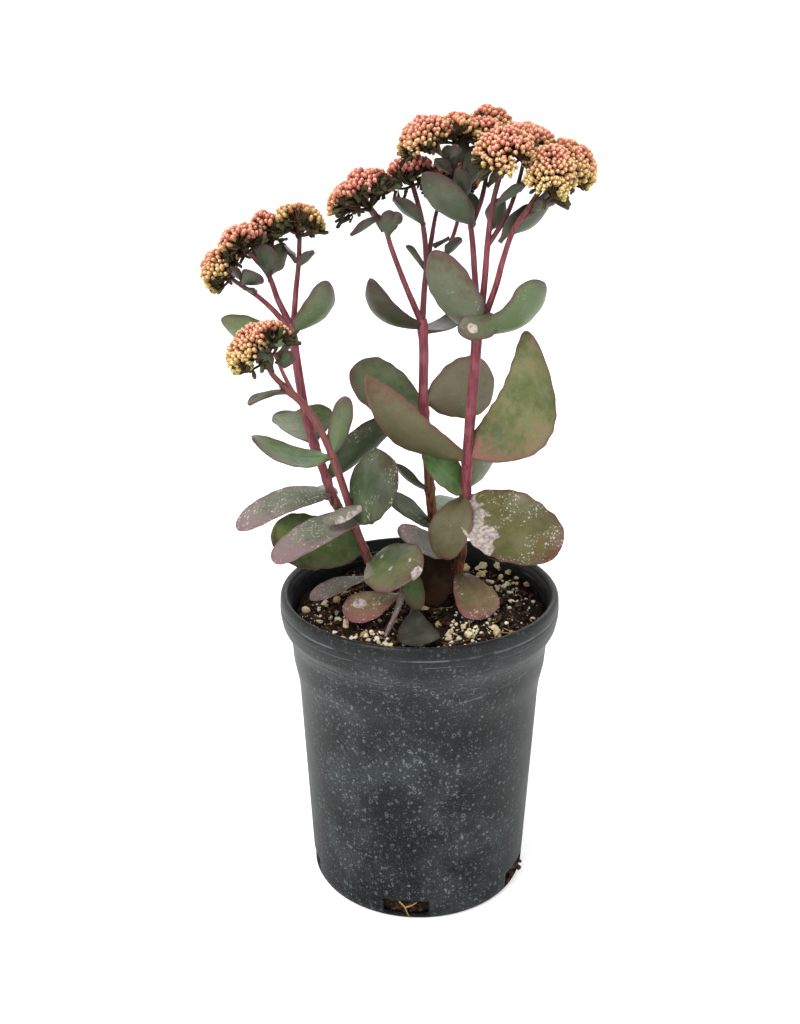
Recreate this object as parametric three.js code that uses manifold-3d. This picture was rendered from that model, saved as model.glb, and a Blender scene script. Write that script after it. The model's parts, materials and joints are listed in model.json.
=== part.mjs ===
// A potted stonecrop in flower: a round nursery pot, its soil, four forked flowering stems with
// flat domes of buds, a short leafy shoot, and fleshy leaves.
// Millimetres, +Z up. The origin is the centre of the pot's flat underside, and the plant's
// front faces -Y.
import * as THREE from "three";
import { mergeVertices } from "three/addons/utils/BufferGeometryUtils.js";
import Module from "manifold-3d";

const wasm = await Module();
wasm.setup();

// Driving dimensions
const RIM_RADIUS = 82.5; // a 6.5 inch nursery pot
const POT_HEIGHT = 188;
const BASE_RADIUS = 64.4;
const WALL = 1.7;
const FLOOR = 2.2;
const POT_SIDES = 36;
const SOIL_LEVEL = 172; // mean height of the soil's surface at the pot's axis
const GAP = 0.3; // clearance between pieces that touch on the real plant
const FOOT_GAP = 0.6; // clearance of a leaf's foot, wider where the stem bends away
const SLOT_COUNT = 5;
const SLOT_ANGLE = -97; // direction of the first drain slot, degrees from +X
const SLOT_WIDTH = 25;
const SLOT_TOP = 14;
const SLOT_SILL = 2.6; // height of a slot's lower edge
const SLOT_DEPTH = 12; // a slot is cut this deep, through the wall and its rounded foot
// Pot wall as [radius, height]: up the outside from the axis, over the lip and down the inside
const POT_OUTSIDE = [
  [0, 0], [BASE_RADIUS - 1, 0], [66.1, 3.4], [72.1, 126], [72.9, 134], [75.2, 145], [76.2, 158],
  [77.8, 162.8], [81.2, 169.5], [RIM_RADIUS, 177], [82.2, 183], [80.9, 186.9],
];
const POT_INSIDE = [
  [79, POT_HEIGHT], [77.2, 186.7], [75.9, 180], [74.6, 158], [73.6, 145], [71, 134],
  [72.1 - WALL, 126], [66.3 - WALL, 7], [62.5, FLOOR], [0, FLOOR],
];
const SOIL_SIDES = 28;
const SOIL_RINGS = [12, 24, 36, 47, 58, 67, 74.6]; // radii of the rings across its surface
// Side of the soil as [radius, height], a gap inside the pot's wall
const SOIL_WALL = [
  [73.1, 145.4], [70.5, 134.4], [71.7 - WALL, 126], [65.9 - WALL, 7], [61.8, FLOOR + GAP],
];
const SOIL_SLOPE = [0.025, 0.015]; // rise per millimetre to the right and to the back
const SOIL_LUMP = 1.3; // height of its broad lumps
const SOIL_CRUMB = 0.9; // height of its finer lumps
const LEAF_EDGE = 0.8; // thickness of a leaf along its margin
const LEAF_MIDDLE = 2.6; // thickness of a leaf along its midrib
const LEAF_THINNING = 0.45; // share of the midrib's thickness that is lost by the tip
const LEAF_COLUMNS = [-1, -0.5, 0, 0.5, 1]; // where a leaf's columns lie across it
const STALK_HALF = 1.2; // least half width, at a leaf's foot and tip
const FOOT_LENGTH = 44; // length of the cylinder that trims a leaf's foot
const SHOULDER = 1.15; // how soon a leaf widens from its foot
const LEAF_ROWS = [0, 0.16, 0.38, 0.62, 0.84, 0.98]; // where a leaf's rows lie along it, 0 to 1
const BRACT_ROWS = [0, 0.25, 0.55, 0.82, 0.98];
const BUD_PITCH = 6.0; // buds are larger than life here, and they cover each head
const BUD_HEIGHT = 3.4; // how far a bud stands up from the valleys beside it
const HEAD_DEPTH = 7; // from the rim of a head down to the point of its underside
const SEAT_INSET = 3; // how far a branch end runs into a head
const HEAD_FILL = 0.82; // share of a head's disc that bud centres lie in
const BUD_JITTER = 0.14; // how far a bud strays from its place, of the pitch
const FIRST_SEED = 11; // of the random strays in the first head; each head takes the next
const BUD_LIFT = 0.8; // how much higher the highest buds stand
const STEM_SIDES = 8;
const STEM_STEPS = 9;
const BRANCH_SIDES = 6;

const vec = (p) => new THREE.Vector3(p[0], p[1], p[2]);

// Seeded random numbers in 0..1, the same on every run
function seeded(seed) {
  let state = seed >>> 0;
  return () => {
    state = (Math.imul(state, 1664525) + 1013904223) >>> 0;
    return state / 4294967296;
  };
}

// Closed geometry to solid and back
function solidOf(geometry) {
  const bare = geometry.clone();
  bare.deleteAttribute("normal");
  bare.deleteAttribute("uv");
  const merged = mergeVertices(bare, 1e-4);
  const mesh = new wasm.Mesh({
    numProp: 3,
    vertProperties: new Float32Array(merged.attributes.position.array),
    triVerts: new Uint32Array(merged.index.array),
  });
  return new wasm.Manifold(mesh);
}

function geometryOf(solid) {
  const mesh = solid.getMesh();
  const geometry = new THREE.BufferGeometry();
  geometry.setAttribute("position", new THREE.BufferAttribute(new Float32Array(mesh.vertProperties), 3));
  geometry.setIndex(new THREE.BufferAttribute(new Uint32Array(mesh.triVerts), 1));
  geometry.computeVertexNormals();
  return geometry;
}

function joined(solids) {
  return solids.reduce((whole, piece) => whole.add(piece));
}

// The one body of a cut piece that is worth keeping
function largestBody(solid) {
  const bodies = solid.decompose();
  return bodies.reduce((best, body) => (body.volume() > best.volume() ? body : best));
}

const FINISHES = {
  pot: { color: 0x3b3f43, roughness: 0.55, metalness: 0 },
  soil: { color: 0x2c211b, roughness: 0.95, metalness: 0 },
  stem: { color: 0x7d2f3f, roughness: 0.45, metalness: 0 },
  buds: { color: 0xd98a6c, roughness: 0.7, metalness: 0 },
  leaf: { color: 0x66755c, roughness: 0.55, metalness: 0 },
};

function meshOf(name, solid, finish) {
  const mesh = new THREE.Mesh(geometryOf(solid), new THREE.MeshStandardMaterial(FINISHES[finish]));
  mesh.name = name;
  return mesh;
}

// Tapered round tube along a smooth curve through the given points; sides are few and ends flat
function tube(points, startRadius, endRadius, sides, steps) {
  const curve = new THREE.CatmullRomCurve3(points.map(vec), false, "centripetal");
  const frames = curve.computeFrenetFrames(steps, false);
  const position = [];
  const index = [];
  for (let i = 0; i <= steps; i++) {
    const centre = curve.getPointAt(i / steps);
    const radius = THREE.MathUtils.lerp(startRadius, endRadius, i / steps);
    for (let j = 0; j < sides; j++) {
      const turn = (2 * Math.PI * j) / sides;
      const p = centre.clone()
        .addScaledVector(frames.normals[i], radius * Math.cos(turn))
        .addScaledVector(frames.binormals[i], radius * Math.sin(turn));
      position.push(p.x, p.y, p.z);
    }
  }
  for (let i = 0; i < steps; i++) {
    for (let j = 0; j < sides; j++) {
      const a = i * sides + j;
      const b = i * sides + ((j + 1) % sides);
      index.push(a, b, b + sides, a, b + sides, a + sides);
    }
  }
  for (let j = 1; j < sides - 1; j++) {
    const last = steps * sides;
    index.push(0, j + 1, j, last, last + j, last + j + 1);
  }
  const geometry = new THREE.BufferGeometry();
  geometry.setAttribute("position", new THREE.Float32BufferAttribute(position, 3));
  geometry.setIndex(index);
  return solidOf(geometry);
}

// Pot: one turned wall with a rolled lip, a collar and a step, cut by the drain slots
function makePot() {
  const profile = [...POT_OUTSIDE, ...POT_INSIDE].map(([r, z]) => new THREE.Vector2(r, z));
  const wall = new THREE.LatheGeometry(profile, POT_SIDES);
  wall.rotateX(Math.PI / 2);
  let pot = solidOf(wall);
  const height = SLOT_TOP - SLOT_SILL;
  for (let i = 0; i < SLOT_COUNT; i++) {
    const slot = new THREE.BoxGeometry(SLOT_DEPTH, SLOT_WIDTH, height);
    slot.translate(BASE_RADIUS + WALL, 0, SLOT_TOP - height / 2);
    slot.rotateZ(THREE.MathUtils.degToRad(SLOT_ANGLE + (360 / SLOT_COUNT) * i));
    pot = pot.subtract(solidOf(slot));
  }
  return pot;
}

// Height of the soil's surface: it dips to the front and stands a little higher at the back right
function soilHeight(x, y) {
  const slope = SOIL_SLOPE[0] * x + SOIL_SLOPE[1] * y;
  const lumps = SOIL_LUMP * Math.sin(x * 0.21 + 0.8) * Math.cos(y * 0.17 - 0.4)
    + SOIL_CRUMB * Math.sin(x * 0.47 - y * 0.39);
  return SOIL_LEVEL + slope + lumps;
}

function makeSoil() {
  const position = [0, 0, soilHeight(0, 0)];
  const ring = (radius, height) => {
    for (let j = 0; j < SOIL_SIDES; j++) {
      const turn = (2 * Math.PI * j) / SOIL_SIDES;
      const x = radius * Math.cos(turn);
      const y = radius * Math.sin(turn);
      position.push(x, y, height === undefined ? soilHeight(x, y) : height);
    }
  };
  SOIL_RINGS.forEach((radius) => ring(radius));
  SOIL_WALL.forEach(([radius, height]) => ring(radius, height));
  position.push(0, 0, FLOOR + GAP);
  const bottom = position.length / 3 - 1;
  const rows = SOIL_RINGS.length + SOIL_WALL.length;
  const index = [];
  for (let j = 0; j < SOIL_SIDES; j++) {
    const k = (j + 1) % SOIL_SIDES;
    index.push(0, 1 + j, 1 + k);
    for (let i = 0; i < rows - 1; i++) {
      const a = 1 + i * SOIL_SIDES + j;
      const b = 1 + i * SOIL_SIDES + k;
      index.push(a, a + SOIL_SIDES, b + SOIL_SIDES, a, b + SOIL_SIDES, b);
    }
    const last = 1 + (rows - 1) * SOIL_SIDES;
    index.push(last + j, bottom, last + k);
  }
  const geometry = new THREE.BufferGeometry();
  geometry.setAttribute("position", new THREE.Float32BufferAttribute(position, 3));
  geometry.setIndex(index);
  return solidOf(geometry);
}

// Stems. Each has a main axis from inside the soil to its top node, and branches that leave it.
// A radius runs from the first number to the second. A branch with a head runs on into its underside.
const STEMS = {
  stem_front_left: {
    main: { from: 3.0, to: 2.3, path: [[-21, 8, 150], [-22, 8, 177], [-31, 0, 208], [-36, -4, 224],
      [-43, -10, 252], [-50, -14, 276], [-56, -17, 291], [-64, -20, 305], [-75, -24, 317]] },
    branches: [
      { from: 1.9, to: 1.6, path: [[-73, -23, 315], [-80, -26, 324]], head: "head_front_low" },
      { from: 1.6, to: 1.2, path: [[-68, -21, 309], [-73, -26, 322], [-78, -29, 336]] },
    ],
  },
  stem_back_left: {
    main: { from: 3.0, to: 2.5, path: [[-21, 22, 150], [-22, 22, 175], [-42, 18, 220], [-51, 16, 238],
      [-55, 15, 252], [-61, 14, 271], [-66, 13, 293], [-71, 12, 332], [-72, 12, 343]] },
    branches: [
      {
        from: 2.0, to: 1.5, path: [[-72, 12, 338], [-81, 10, 350], [-90, 8, 359], [-101, 6, 367]],
        head: "head_left_low",
      },
      {
        from: 2.2, to: 1.6, path: [[-72, 12, 341], [-79, 12, 356], [-84, 12, 370]],
        head: "head_left_middle",
      },
      { from: 1.5, to: 1.2, path: [[-83, 12, 366], [-84, 18, 379]], head: "head_left_inner" },
      {
        from: 2.0, to: 1.6, path: [[-71, 12, 341], [-69, 13, 361], [-67, 12, 376]],
        head: "head_left_top",
      },
    ],
  },
  stem_middle: {
    main: { from: 3.2, to: 2.7, path: [[13, 30, 150], [13, 30, 176], [9, 26, 214], [6, 22, 244],
      [4, 22, 272], [2, 20, 297], [2, 18, 326], [1, 18, 344]] },
    branches: [
      {
        from: 2.1, to: 1.6, path: [[1, 18, 341], [-9, 14, 365], [-16, 10, 384], [-20, 8, 396]],
        head: "head_middle_left",
      },
      {
        from: 2.1, to: 1.7, path: [[1, 18, 342], [2, 18, 360], [3, 18, 374], [1, 18, 396]],
        head: "head_middle_top",
      },
      {
        from: 1.7, to: 1.3, path: [[3, 18, 370], [6, 24, 388], [9, 32, 402]],
        head: "head_middle_back",
      },
      { from: 1.7, to: 1.3, path: [[3, 19, 366], [13, 25, 378], [20, 32, 394], [23, 38, 412]] },
    ],
  },
  stem_right: {
    main: { from: 3.3, to: 3.0, path: [[22, 22, 150], [22, 22, 176], [25, 18, 201], [26, 14, 225],
      [27, 10, 251], [28, 6, 283], [30, 2, 319], [31, 0, 346]] },
    branches: [
      {
        from: 2.2, to: 1.7,
        path: [[31, 0, 343], [29, 6, 373], [27, 10, 394], [23, 11, 412], [15, 8, 430]],
        head: "head_right_left",
      },
      {
        from: 1.7, to: 1.4, path: [[27, 11, 396], [33, 20, 410], [37, 31, 430]],
        head: "head_right_back",
      },
      {
        from: 2.3, to: 1.7, path: [[32, 0, 343], [34, -4, 370], [35, -6, 391], [37, -11, 412]],
        head: "head_right_front",
      },
      {
        from: 1.6, to: 1.3, path: [[35, -6, 388], [45, -3, 404], [51, 2, 420]],
        head: "head_right_middle",
      },
      {
        from: 2.2, to: 1.7,
        path: [[33, 0, 344], [40, -6, 367], [43, -9, 381], [48, -14, 398], [56, -18, 411]],
        head: "head_right_low",
      },
      {
        from: 1.6, to: 1.3, path: [[50, -15, 402], [61, -13, 409], [71, -7, 417]],
        head: "head_right_end",
      },
    ],
  },
  shoot_low_front: {
    main: { from: 2.6, to: 1.9, path: [[-4, 2, 155], [-4, 2, 178], [-7, -2, 198], [-9, -5, 208]] },
    branches: [],
  },
};

function stemSolid(spec, extra) {
  const { from: foot, to: top, path: axis } = spec.main;
  const main = tube(axis, foot + extra, top + extra, STEM_SIDES, STEM_STEPS);
  const branches = spec.branches.map(({ from, to, path, head }) => {
    const route = head ? [...path, headSeat(HEADS[head]).toArray()] : path;
    return tube(route, from + extra, to + extra, BRANCH_SIDES, route.length);
  });
  return joined([main, ...branches]);
}

// Point on a stem's main axis at a given height, or on the line that continues it above its top
function stemPoint(spec, height) {
  const path = spec.main.path;
  const above = path.findIndex((p) => p[2] >= height);
  const top = above < 0 ? path.length - 1 : above;
  const [a, b] = [path[top - 1], path[top]].map(vec);
  return a.lerp(b, (height - a.z) / (b.z - a.z));
}

// Short cylinder round a stem's main axis that keeps a leaf's foot clear of it
function footCutter(spec, height) {
  const { from, to, path } = spec.main;
  const centre = stemPoint(spec, height);
  const axis = stemPoint(spec, height + 6).sub(stemPoint(spec, height - 6)).normalize();
  const share = (height - path[0][2]) / (path.at(-1)[2] - path[0][2]);
  const radius = THREE.MathUtils.lerp(from, to, share) + FOOT_GAP;
  const cutter = new THREE.CylinderGeometry(radius, radius, FOOT_LENGTH, STEM_SIDES, 1);
  const upright = new THREE.Vector3(0, 1, 0);
  cutter.applyQuaternion(new THREE.Quaternion().setFromUnitVectors(upright, axis));
  cutter.translate(centre.x, centre.y, centre.z);
  return solidOf(cutter);
}

// Half width of a leaf along its length, from 0 at a very thin tip to 1 at its widest
function leafOutline(s, { widest = 0.56, stalk = 0.3, blunt = 2.3 }) {
  if (s < widest) return stalk + (1 - stalk) * Math.sin((Math.PI / 2) * (s / widest)) ** SHOULDER;
  return Math.sqrt(Math.max(0, 1 - ((s - widest) / (1 - widest)) ** blunt));
}

// Leaf: a lens-shaped blade round a bowed midrib. Its upper and lower faces are split alike, so it
// keeps its thickness where it bends. tip is the end point, and face the way its upper side looks.
// bow arches the midrib out of the blade, sweep curves it to one side, and cup lifts the margins.
function leafSolid(base, leaf) {
  const { tip, width, face = [0, 0, 1], bow = 0, sweep = 0, cup = 0.15 } = leaf;
  const chord = vec(tip).sub(base);
  const length = chord.length();
  const along = chord.clone().normalize();
  const up = vec(face).addScaledVector(along, -vec(face).dot(along)).normalize();
  const side = up.clone().cross(along);
  const rows = leaf.rows ?? LEAF_ROWS;
  const position = [];
  const layer = (sign) => rows.forEach((s) => {
    const arch = 4 * s * (1 - s);
    const slope = (4 * (1 - 2 * s) * bow) / length;
    const middle = base.clone().addScaledVector(along, length * s)
      .addScaledVector(up, bow * arch).addScaledVector(side, sweep * arch);
    const normal = up.clone().addScaledVector(along, -slope).normalize();
    const half = Math.max(leafOutline(s, leaf) * (width / 2), STALK_HALF);
    LEAF_COLUMNS.forEach((v) => {
      const belly = (LEAF_MIDDLE - LEAF_EDGE) * (1 - v * v) * (1 - LEAF_THINNING * s);
      const p = middle.clone().addScaledVector(side, half * v)
        .addScaledVector(normal, cup * half * v * v + (sign * (LEAF_EDGE + belly)) / 2);
      position.push(p.x, p.y, p.z);
    });
  });
  layer(1);
  layer(-1);
  const n = LEAF_COLUMNS.length;
  const under = rows.length * n;
  const index = [];
  for (let i = 0; i < rows.length - 1; i++) {
    for (let j = 0; j < n - 1; j++) {
      const a = i * n + j;
      const b = under + a;
      index.push(a, a + n, a + n + 1, a, a + n + 1, a + 1);
      index.push(b, b + n + 1, b + n, b, b + 1, b + n + 1);
    }
    const left = i * n;
    const right = i * n + n - 1;
    index.push(left, under + left, under + left + n, left, under + left + n, left + n);
    index.push(right, right + n, under + right + n, right, under + right + n, under + right);
  }
  const last = (rows.length - 1) * n;
  for (let j = 0; j < n - 1; j++) {
    index.push(j, j + 1, under + j + 1, j, under + j + 1, under + j);
    const a = last + j;
    const b = under + a;
    index.push(a, b, b + 1, a, b + 1, a + 1);
  }
  const geometry = new THREE.BufferGeometry();
  geometry.setAttribute("position", new THREE.Float32BufferAttribute(position, 3));
  geometry.setIndex(index);
  return solidOf(geometry);
}

// Leaves: on names the stem, at is the height of the leaf's foot on its main axis. A face vector
// with a large +Y turns the leaf's underside to the front.
const LEAVES = {
  leaf_right_top_front: {
    on: "stem_right", at: 342, tip: [6, -8, 386], width: 27, face: [0.5, 1, 0.3], bow: -5,
  },
  leaf_right_top_right: {
    on: "stem_right", at: 334, tip: [65, -10, 369], width: 30, face: [-0.5, 0.8, 0.8], bow: -9,
  },
  leaf_middle_top_left: {
    on: "stem_middle", at: 340, tip: [-28, 6, 369], width: 25, face: [0.6, 0.8, 0.6], bow: -8,
  },
  leaf_middle_top_right: { on: "stem_middle", at: 337, tip: [24, 34, 345], width: 20, bow: -3 },
  leaf_back_left_top_right: {
    on: "stem_back_left", at: 339, tip: [-51, 4, 368], width: 22, face: [-0.6, 0.8, 0.5], bow: -5,
  },
  leaf_back_left_top_left: {
    on: "stem_back_left", at: 333, tip: [-112, 18, 344], width: 22, face: [0.2, 0.9, 0.5],
    bow: -5,
  },
  leaf_front_left_narrow: {
    on: "stem_front_left", at: 313, tip: [-92, -36, 309], width: 13, face: [0.2, 0.2, 1], bow: 2,
  },
  leaf_right_big: {
    on: "stem_right", at: 267, tip: [66, -6, 340], width: 40, face: [-0.4, -0.7, 0.5], bow: -5,
    sweep: -11,
  },
  leaf_right_long: {
    on: "stem_right", at: 264, tip: [-30, -16, 321], width: 31, face: [0.3, 1, 0.2], bow: -4,
  },
  leaf_right_low_back: {
    on: "stem_right", at: 245, tip: [1, 3, 271], width: 25, face: [0.4, -0.6, 0.9],
  },
  leaf_right_low_side: {
    on: "stem_right", at: 245, tip: [47, 22, 270], width: 24, face: [-0.5, 0.8, 0.6],
  },
  leaf_right_spotted: {
    on: "stem_right", at: 237, tip: [76, -34, 222], width: 42, face: [0.1, -0.8, 0.7], bow: 4,
    stalk: 0.2,
  },
  leaf_right_drooping: {
    on: "stem_right", at: 242, tip: [15, -14, 211], width: 27, face: [-0.55, -0.8, 0.4], bow: 4,
    stalk: 0.2,
  },
  leaf_middle_round: {
    on: "stem_middle", at: 289, tip: [-40, 16, 315], width: 33, face: [0.4, -0.8, 0.8], bow: -4,
  },
  leaf_middle_grey: {
    on: "stem_middle", at: 296, tip: [43, 38, 301], width: 36, face: [-0.2, 0.9, 0], bow: -3,
  },
  leaf_middle_edge: {
    on: "stem_middle", at: 242, tip: [-13, 8, 262], width: 17, face: [0.5, 0.4, 1], bow: -3,
  },
  leaf_middle_dark: {
    on: "stem_middle", at: 220, tip: [-20, 10, 245], width: 17, face: [0.6, -0.4, 0.8],
  },
  leaf_front_left_upper: {
    on: "stem_front_left", at: 273, tip: [-92, -28, 289], width: 25, face: [0.3, -0.2, 1],
    bow: -7,
  },
  leaf_front_left_upright: {
    on: "stem_front_left", at: 274, tip: [-41, -10, 307], width: 16, face: [-0.2, 0.9, 0.2],
    bow: -2,
  },
  leaf_back_left_round: {
    on: "stem_back_left", at: 272, tip: [-75, 48, 282], width: 32, face: [0.1, -0.5, 0.9],
  },
  leaf_back_left_dark: {
    on: "stem_back_left", at: 250, tip: [-16, 22, 286], width: 26, face: [-0.4, 0.8, 0.5],
  },
  leaf_back_left_low: {
    on: "stem_back_left", at: 241, tip: [-107, 2, 224], width: 25, face: [0, -0.3, 1], bow: 6,
  },
  leaf_front_left_spotted: {
    on: "stem_front_left", at: 235, tip: [-15, -28, 274], width: 35, face: [-0.6, -0.5, 0.8],
    bow: 2,
  },
  leaf_front_left_long: {
    on: "stem_front_left", at: 231, tip: [-81, -42, 220], width: 24, face: [0, -0.3, 1], bow: 4,
  },
  leaf_front_left_green: {
    on: "stem_front_left", at: 212, tip: [-86, -10, 224], width: 34, face: [0.2, -0.6, 0.9],
    bow: -2,
  },
  leaf_front_round: {
    on: "stem_front_left", at: 204, tip: [-1, -40, 212], width: 32, face: [-0.1, -0.8, 0.8],
    bow: 2,
  },
  leaf_right_purple: {
    on: "stem_right", at: 202, tip: [-13, -6, 225], width: 19, face: [0.3, -0.5, 1], bow: -2,
  },
  leaf_soil_dark: {
    on: "stem_middle", at: 206, tip: [7, -4, 178], width: 20, face: [0, -0.9, 0.4], bow: 3,
  },
  leaf_soil_fan: {
    on: "stem_right", at: 188, tip: [37, -16, 177], width: 25, face: [0, -0.6, 0.8], bow: 4,
    widest: 0.75,
  },
  leaf_soil_pink: {
    on: "shoot_low_front", at: 182, tip: [-43, -24, 179], width: 23, face: [-0.2, -0.6, 0.9],
    bow: 4, widest: 0.68, stalk: 0.2,
  },
  leaf_soil_yellow: {
    on: "shoot_low_front", at: 205, tip: [-1, -22, 185], width: 13, face: [0, -0.9, 0.5], bow: 3,
  },
  leaf_soil_thin: {
    on: "shoot_low_front", at: 199, tip: [-23, -38, 178], width: 9, face: [-0.9, -0.2, 0.5],
    bow: -2,
  },
  leaf_soil_front: {
    on: "shoot_low_front", at: 177, tip: [0, -52, 176], width: 27, widest: 0.72, stalk: 0.16,
    cup: 0.06,
  },
  leaf_behind_right: {
    on: "stem_right", at: 221, tip: [62, 56, 212], width: 28, face: [0, -0.5, 0.9], bow: 3,
  },
  leaf_behind_middle: { on: "stem_middle", at: 216, tip: [30, 66, 218], width: 27, bow: 5 },
  leaf_behind_left: { on: "stem_back_left", at: 236, tip: [-76, 52, 226], width: 26, bow: 4 },
  leaf_soil_left: {
    on: "stem_front_left", at: 192, tip: [-64, -12, 185], width: 16, face: [0, -0.3, 1], bow: 3,
  },
};

// Small leaves below the heads. Each is one piece with the stem named by on.
const BRACTS = [
  { on: "stem_back_left", foot: [-99, 6, 366], tip: [-86, -1, 371], width: 12, face: [0, 0.8, 0.6] },
  { on: "stem_back_left", foot: [-84, 12, 370], tip: [-85, 3, 386], width: 13, face: [0.2, 1, 0.3] },
  { on: "stem_back_left", foot: [-83, 12, 369], tip: [-75, 20, 386], width: 12, face: [-0.3, 1, 0.3] },
  { on: "stem_right", foot: [28, 10, 402], tip: [0, -4, 427], width: 27, face: [0.3, 1, 0.5], bow: -3 },
  {
    on: "stem_right", foot: [46, -11, 395], tip: [71, 4, 417], width: 18, face: [-0.4, 0.7, 0.6],
    bow: -4,
  },
  { on: "stem_right", foot: [36, -6, 396], tip: [44, 6, 411], width: 13, face: [0, 1, 0.4] },
  { on: "stem_middle", foot: [2, 18, 396], tip: [-15, 6, 412], width: 11, face: [0.4, 0.8, 0.5] },
  { on: "stem_middle", foot: [-18, 9, 390], tip: [-17, -2, 406], width: 10, face: [0, 1, 0.3] },
  { on: "stem_middle", foot: [-22, 7, 402], tip: [-38, -3, 393], width: 8, face: [0.3, 0.6, 0.6] },
  { on: "stem_middle", foot: [13, 25, 378], tip: [22, 18, 389], width: 9, face: [-0.3, 0.7, 0.6] },
];

// Flower heads. across and deep are the half widths of the dome, rise is its height over the rim,
// and lean is the way its middle looks.
const HEADS = {
  head_left_low: { centre: [-114, 8, 372.5], lean: [-0.8, -0.1, 0.6], across: 13, deep: 21, rise: 7 },
  head_left_middle: { centre: [-96, 6, 390], lean: [-0.55, -0.2, 0.85], across: 12, deep: 21, rise: 7 },
  head_left_inner: { centre: [-80, 32, 394], lean: [-0.2, 0.3, 0.95], across: 11, deep: 13, rise: 7 },
  head_left_top: { centre: [-65, 7, 398.5], lean: [0.1, -0.2, 1], across: 13, deep: 20, rise: 8 },
  head_front_low: { centre: [-89, -32, 341], lean: [-0.4, -0.5, 0.75], across: 19, deep: 21, rise: 9 },
  head_middle_left: {
    centre: [-31, 10, 414.5], lean: [-0.5, -0.1, 0.9], across: 19, deep: 25, rise: 9,
  },
  head_middle_top: { centre: [-7, 22, 424], lean: [-0.5, -0.1, 0.9], across: 11, deep: 16, rise: 6 },
  head_middle_back: { centre: [16, 47, 418], lean: [0.1, 0.5, 0.85], across: 17, deep: 18, rise: 8 },
  head_right_left: {
    centre: [6, 10, 443.5], lean: [-0.25, -0.1, 0.97], across: 19, deep: 23, rise: 10,
  },
  head_right_back: { centre: [35, 40, 446.5], lean: [0.1, 0.4, 0.9], across: 19, deep: 20, rise: 9 },
  head_right_front: {
    centre: [42, -22, 438], lean: [-0.2, -0.45, 0.9], across: 17, deep: 16, rise: 10,
  },
  head_right_middle: { centre: [57, 14, 441], lean: [0.4, 0.1, 0.92], across: 17, deep: 19, rise: 9 },
  head_right_low: {
    centre: [65.5, -25, 427.5], lean: [0.2, -0.5, 0.85], across: 11, deep: 14, rise: 9,
  },
  head_right_end: { centre: [83, 4, 428], lean: [0.6, 0, 0.8], across: 13, deep: 22, rise: 8 },
};

// Point inside a head's underside where its branch ends
function headSeat(head) {
  return vec(head.centre).addScaledVector(vec(head.lean).normalize(), SEAT_INSET - HEAD_DEPTH);
}

// Directions of a head: out of its middle, to its right, and across that
function headFrame(head) {
  const axis = vec(head.lean).normalize();
  const side = new THREE.Vector3(1, 0, 0).addScaledVector(axis, -axis.x).normalize();
  return { axis, side, deep: axis.clone().cross(side) };
}

// Point of the dome over the unit disc, at a depth below its surface
function domePoint(head, frame, u, v, sunk) {
  const fall = u * u + v * v;
  return vec(head.centre).addScaledVector(frame.side, head.across * u)
    .addScaledVector(frame.deep, head.deep * v)
    .addScaledVector(frame.axis, head.rise * (1 - fall) - sunk);
}

// Head: a dome paved with six-sided buds that stand up from the valleys between them, closed
// underneath by a shallow cone down to the branch end. Only whole buds are laid, so its rim is
// ragged.
function headSolid(head, seed) {
  const frame = headFrame(head);
  const random = seeded(seed);
  const corners = new Map();
  const position = [];
  const index = [];
  const place = (x, y, sunk) => {
    const p = domePoint(head, frame, x / head.across, y / head.deep, sunk);
    position.push(p.x, p.y, p.z);
    return position.length / 3 - 1;
  };
  const corner = (x, y) => {
    const key = `${Math.round(x * 10)},${Math.round(y * 10)}`;
    if (!corners.has(key)) corners.set(key, place(x, y, BUD_HEIGHT));
    return corners.get(key);
  };
  const rim = new Map();
  const reach = Math.ceil(Math.max(head.across, head.deep) / BUD_PITCH) + 2;
  for (let row = -reach; row <= reach; row++) {
    for (let column = -reach; column <= reach; column++) {
      const x = BUD_PITCH * (column + (row % 2 ? 0.5 : 0));
      const y = BUD_PITCH * row * Math.sin(Math.PI / 3);
      if ((x / head.across) ** 2 + (y / head.deep) ** 2 > HEAD_FILL) continue;
      const jitter = () => BUD_JITTER * BUD_PITCH * (random() - 0.5);
      const top = place(x + jitter(), y + jitter(), -BUD_LIFT * random());
      const ring = [0, 1, 2, 3, 4, 5].map((k) => {
        const turn = (Math.PI / 3) * (k + 0.5);
        const radius = BUD_PITCH / Math.sqrt(3);
        return corner(x + radius * Math.cos(turn), y + radius * Math.sin(turn));
      });
      ring.forEach((a, k) => {
        const b = ring[(k + 1) % 6];
        index.push(top, a, b);
        if (rim.get(b) === a) rim.delete(b);
        else rim.set(a, b);
      });
    }
  }
  const bottom = place(0, 0, head.rise + HEAD_DEPTH);
  rim.forEach((b, a) => index.push(bottom, b, a));
  const geometry = new THREE.BufferGeometry();
  geometry.setAttribute("position", new THREE.Float32BufferAttribute(position, 3));
  geometry.setIndex(index);
  return solidOf(geometry);
}

const group = new THREE.Group();
const potted = new THREE.Group();
const plant = new THREE.Group();
group.add(potted, plant);

// The room that each stem takes with its clearance, cut from the soil, the leaves and the heads
const clear = Object.fromEntries(
  Object.entries(STEMS).map(([name, spec]) => [name, stemSolid(spec, GAP)]),
);
const soil = Object.values(clear).reduce((body, stem) => body.subtract(stem), makeSoil());
potted.add(meshOf("pot", makePot(), "pot"), meshOf("potting_soil", soil, "soil"));
Object.entries(STEMS).forEach(([name, spec]) => {
  const bracts = BRACTS.filter((bract) => bract.on === name)
    .map((bract) => leafSolid(vec(bract.foot), { ...bract, rows: BRACT_ROWS }));
  plant.add(meshOf(name, joined([stemSolid(spec, 0), ...bracts]), "stem"));
});
Object.entries(LEAVES).forEach(([name, leaf]) => {
  const spec = STEMS[leaf.on];
  const blade = leafSolid(stemPoint(spec, leaf.at), leaf)
    .subtract(footCutter(spec, leaf.at)).subtract(clear[leaf.on]);
  plant.add(meshOf(name, largestBody(blade), "leaf"));
});
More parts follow.
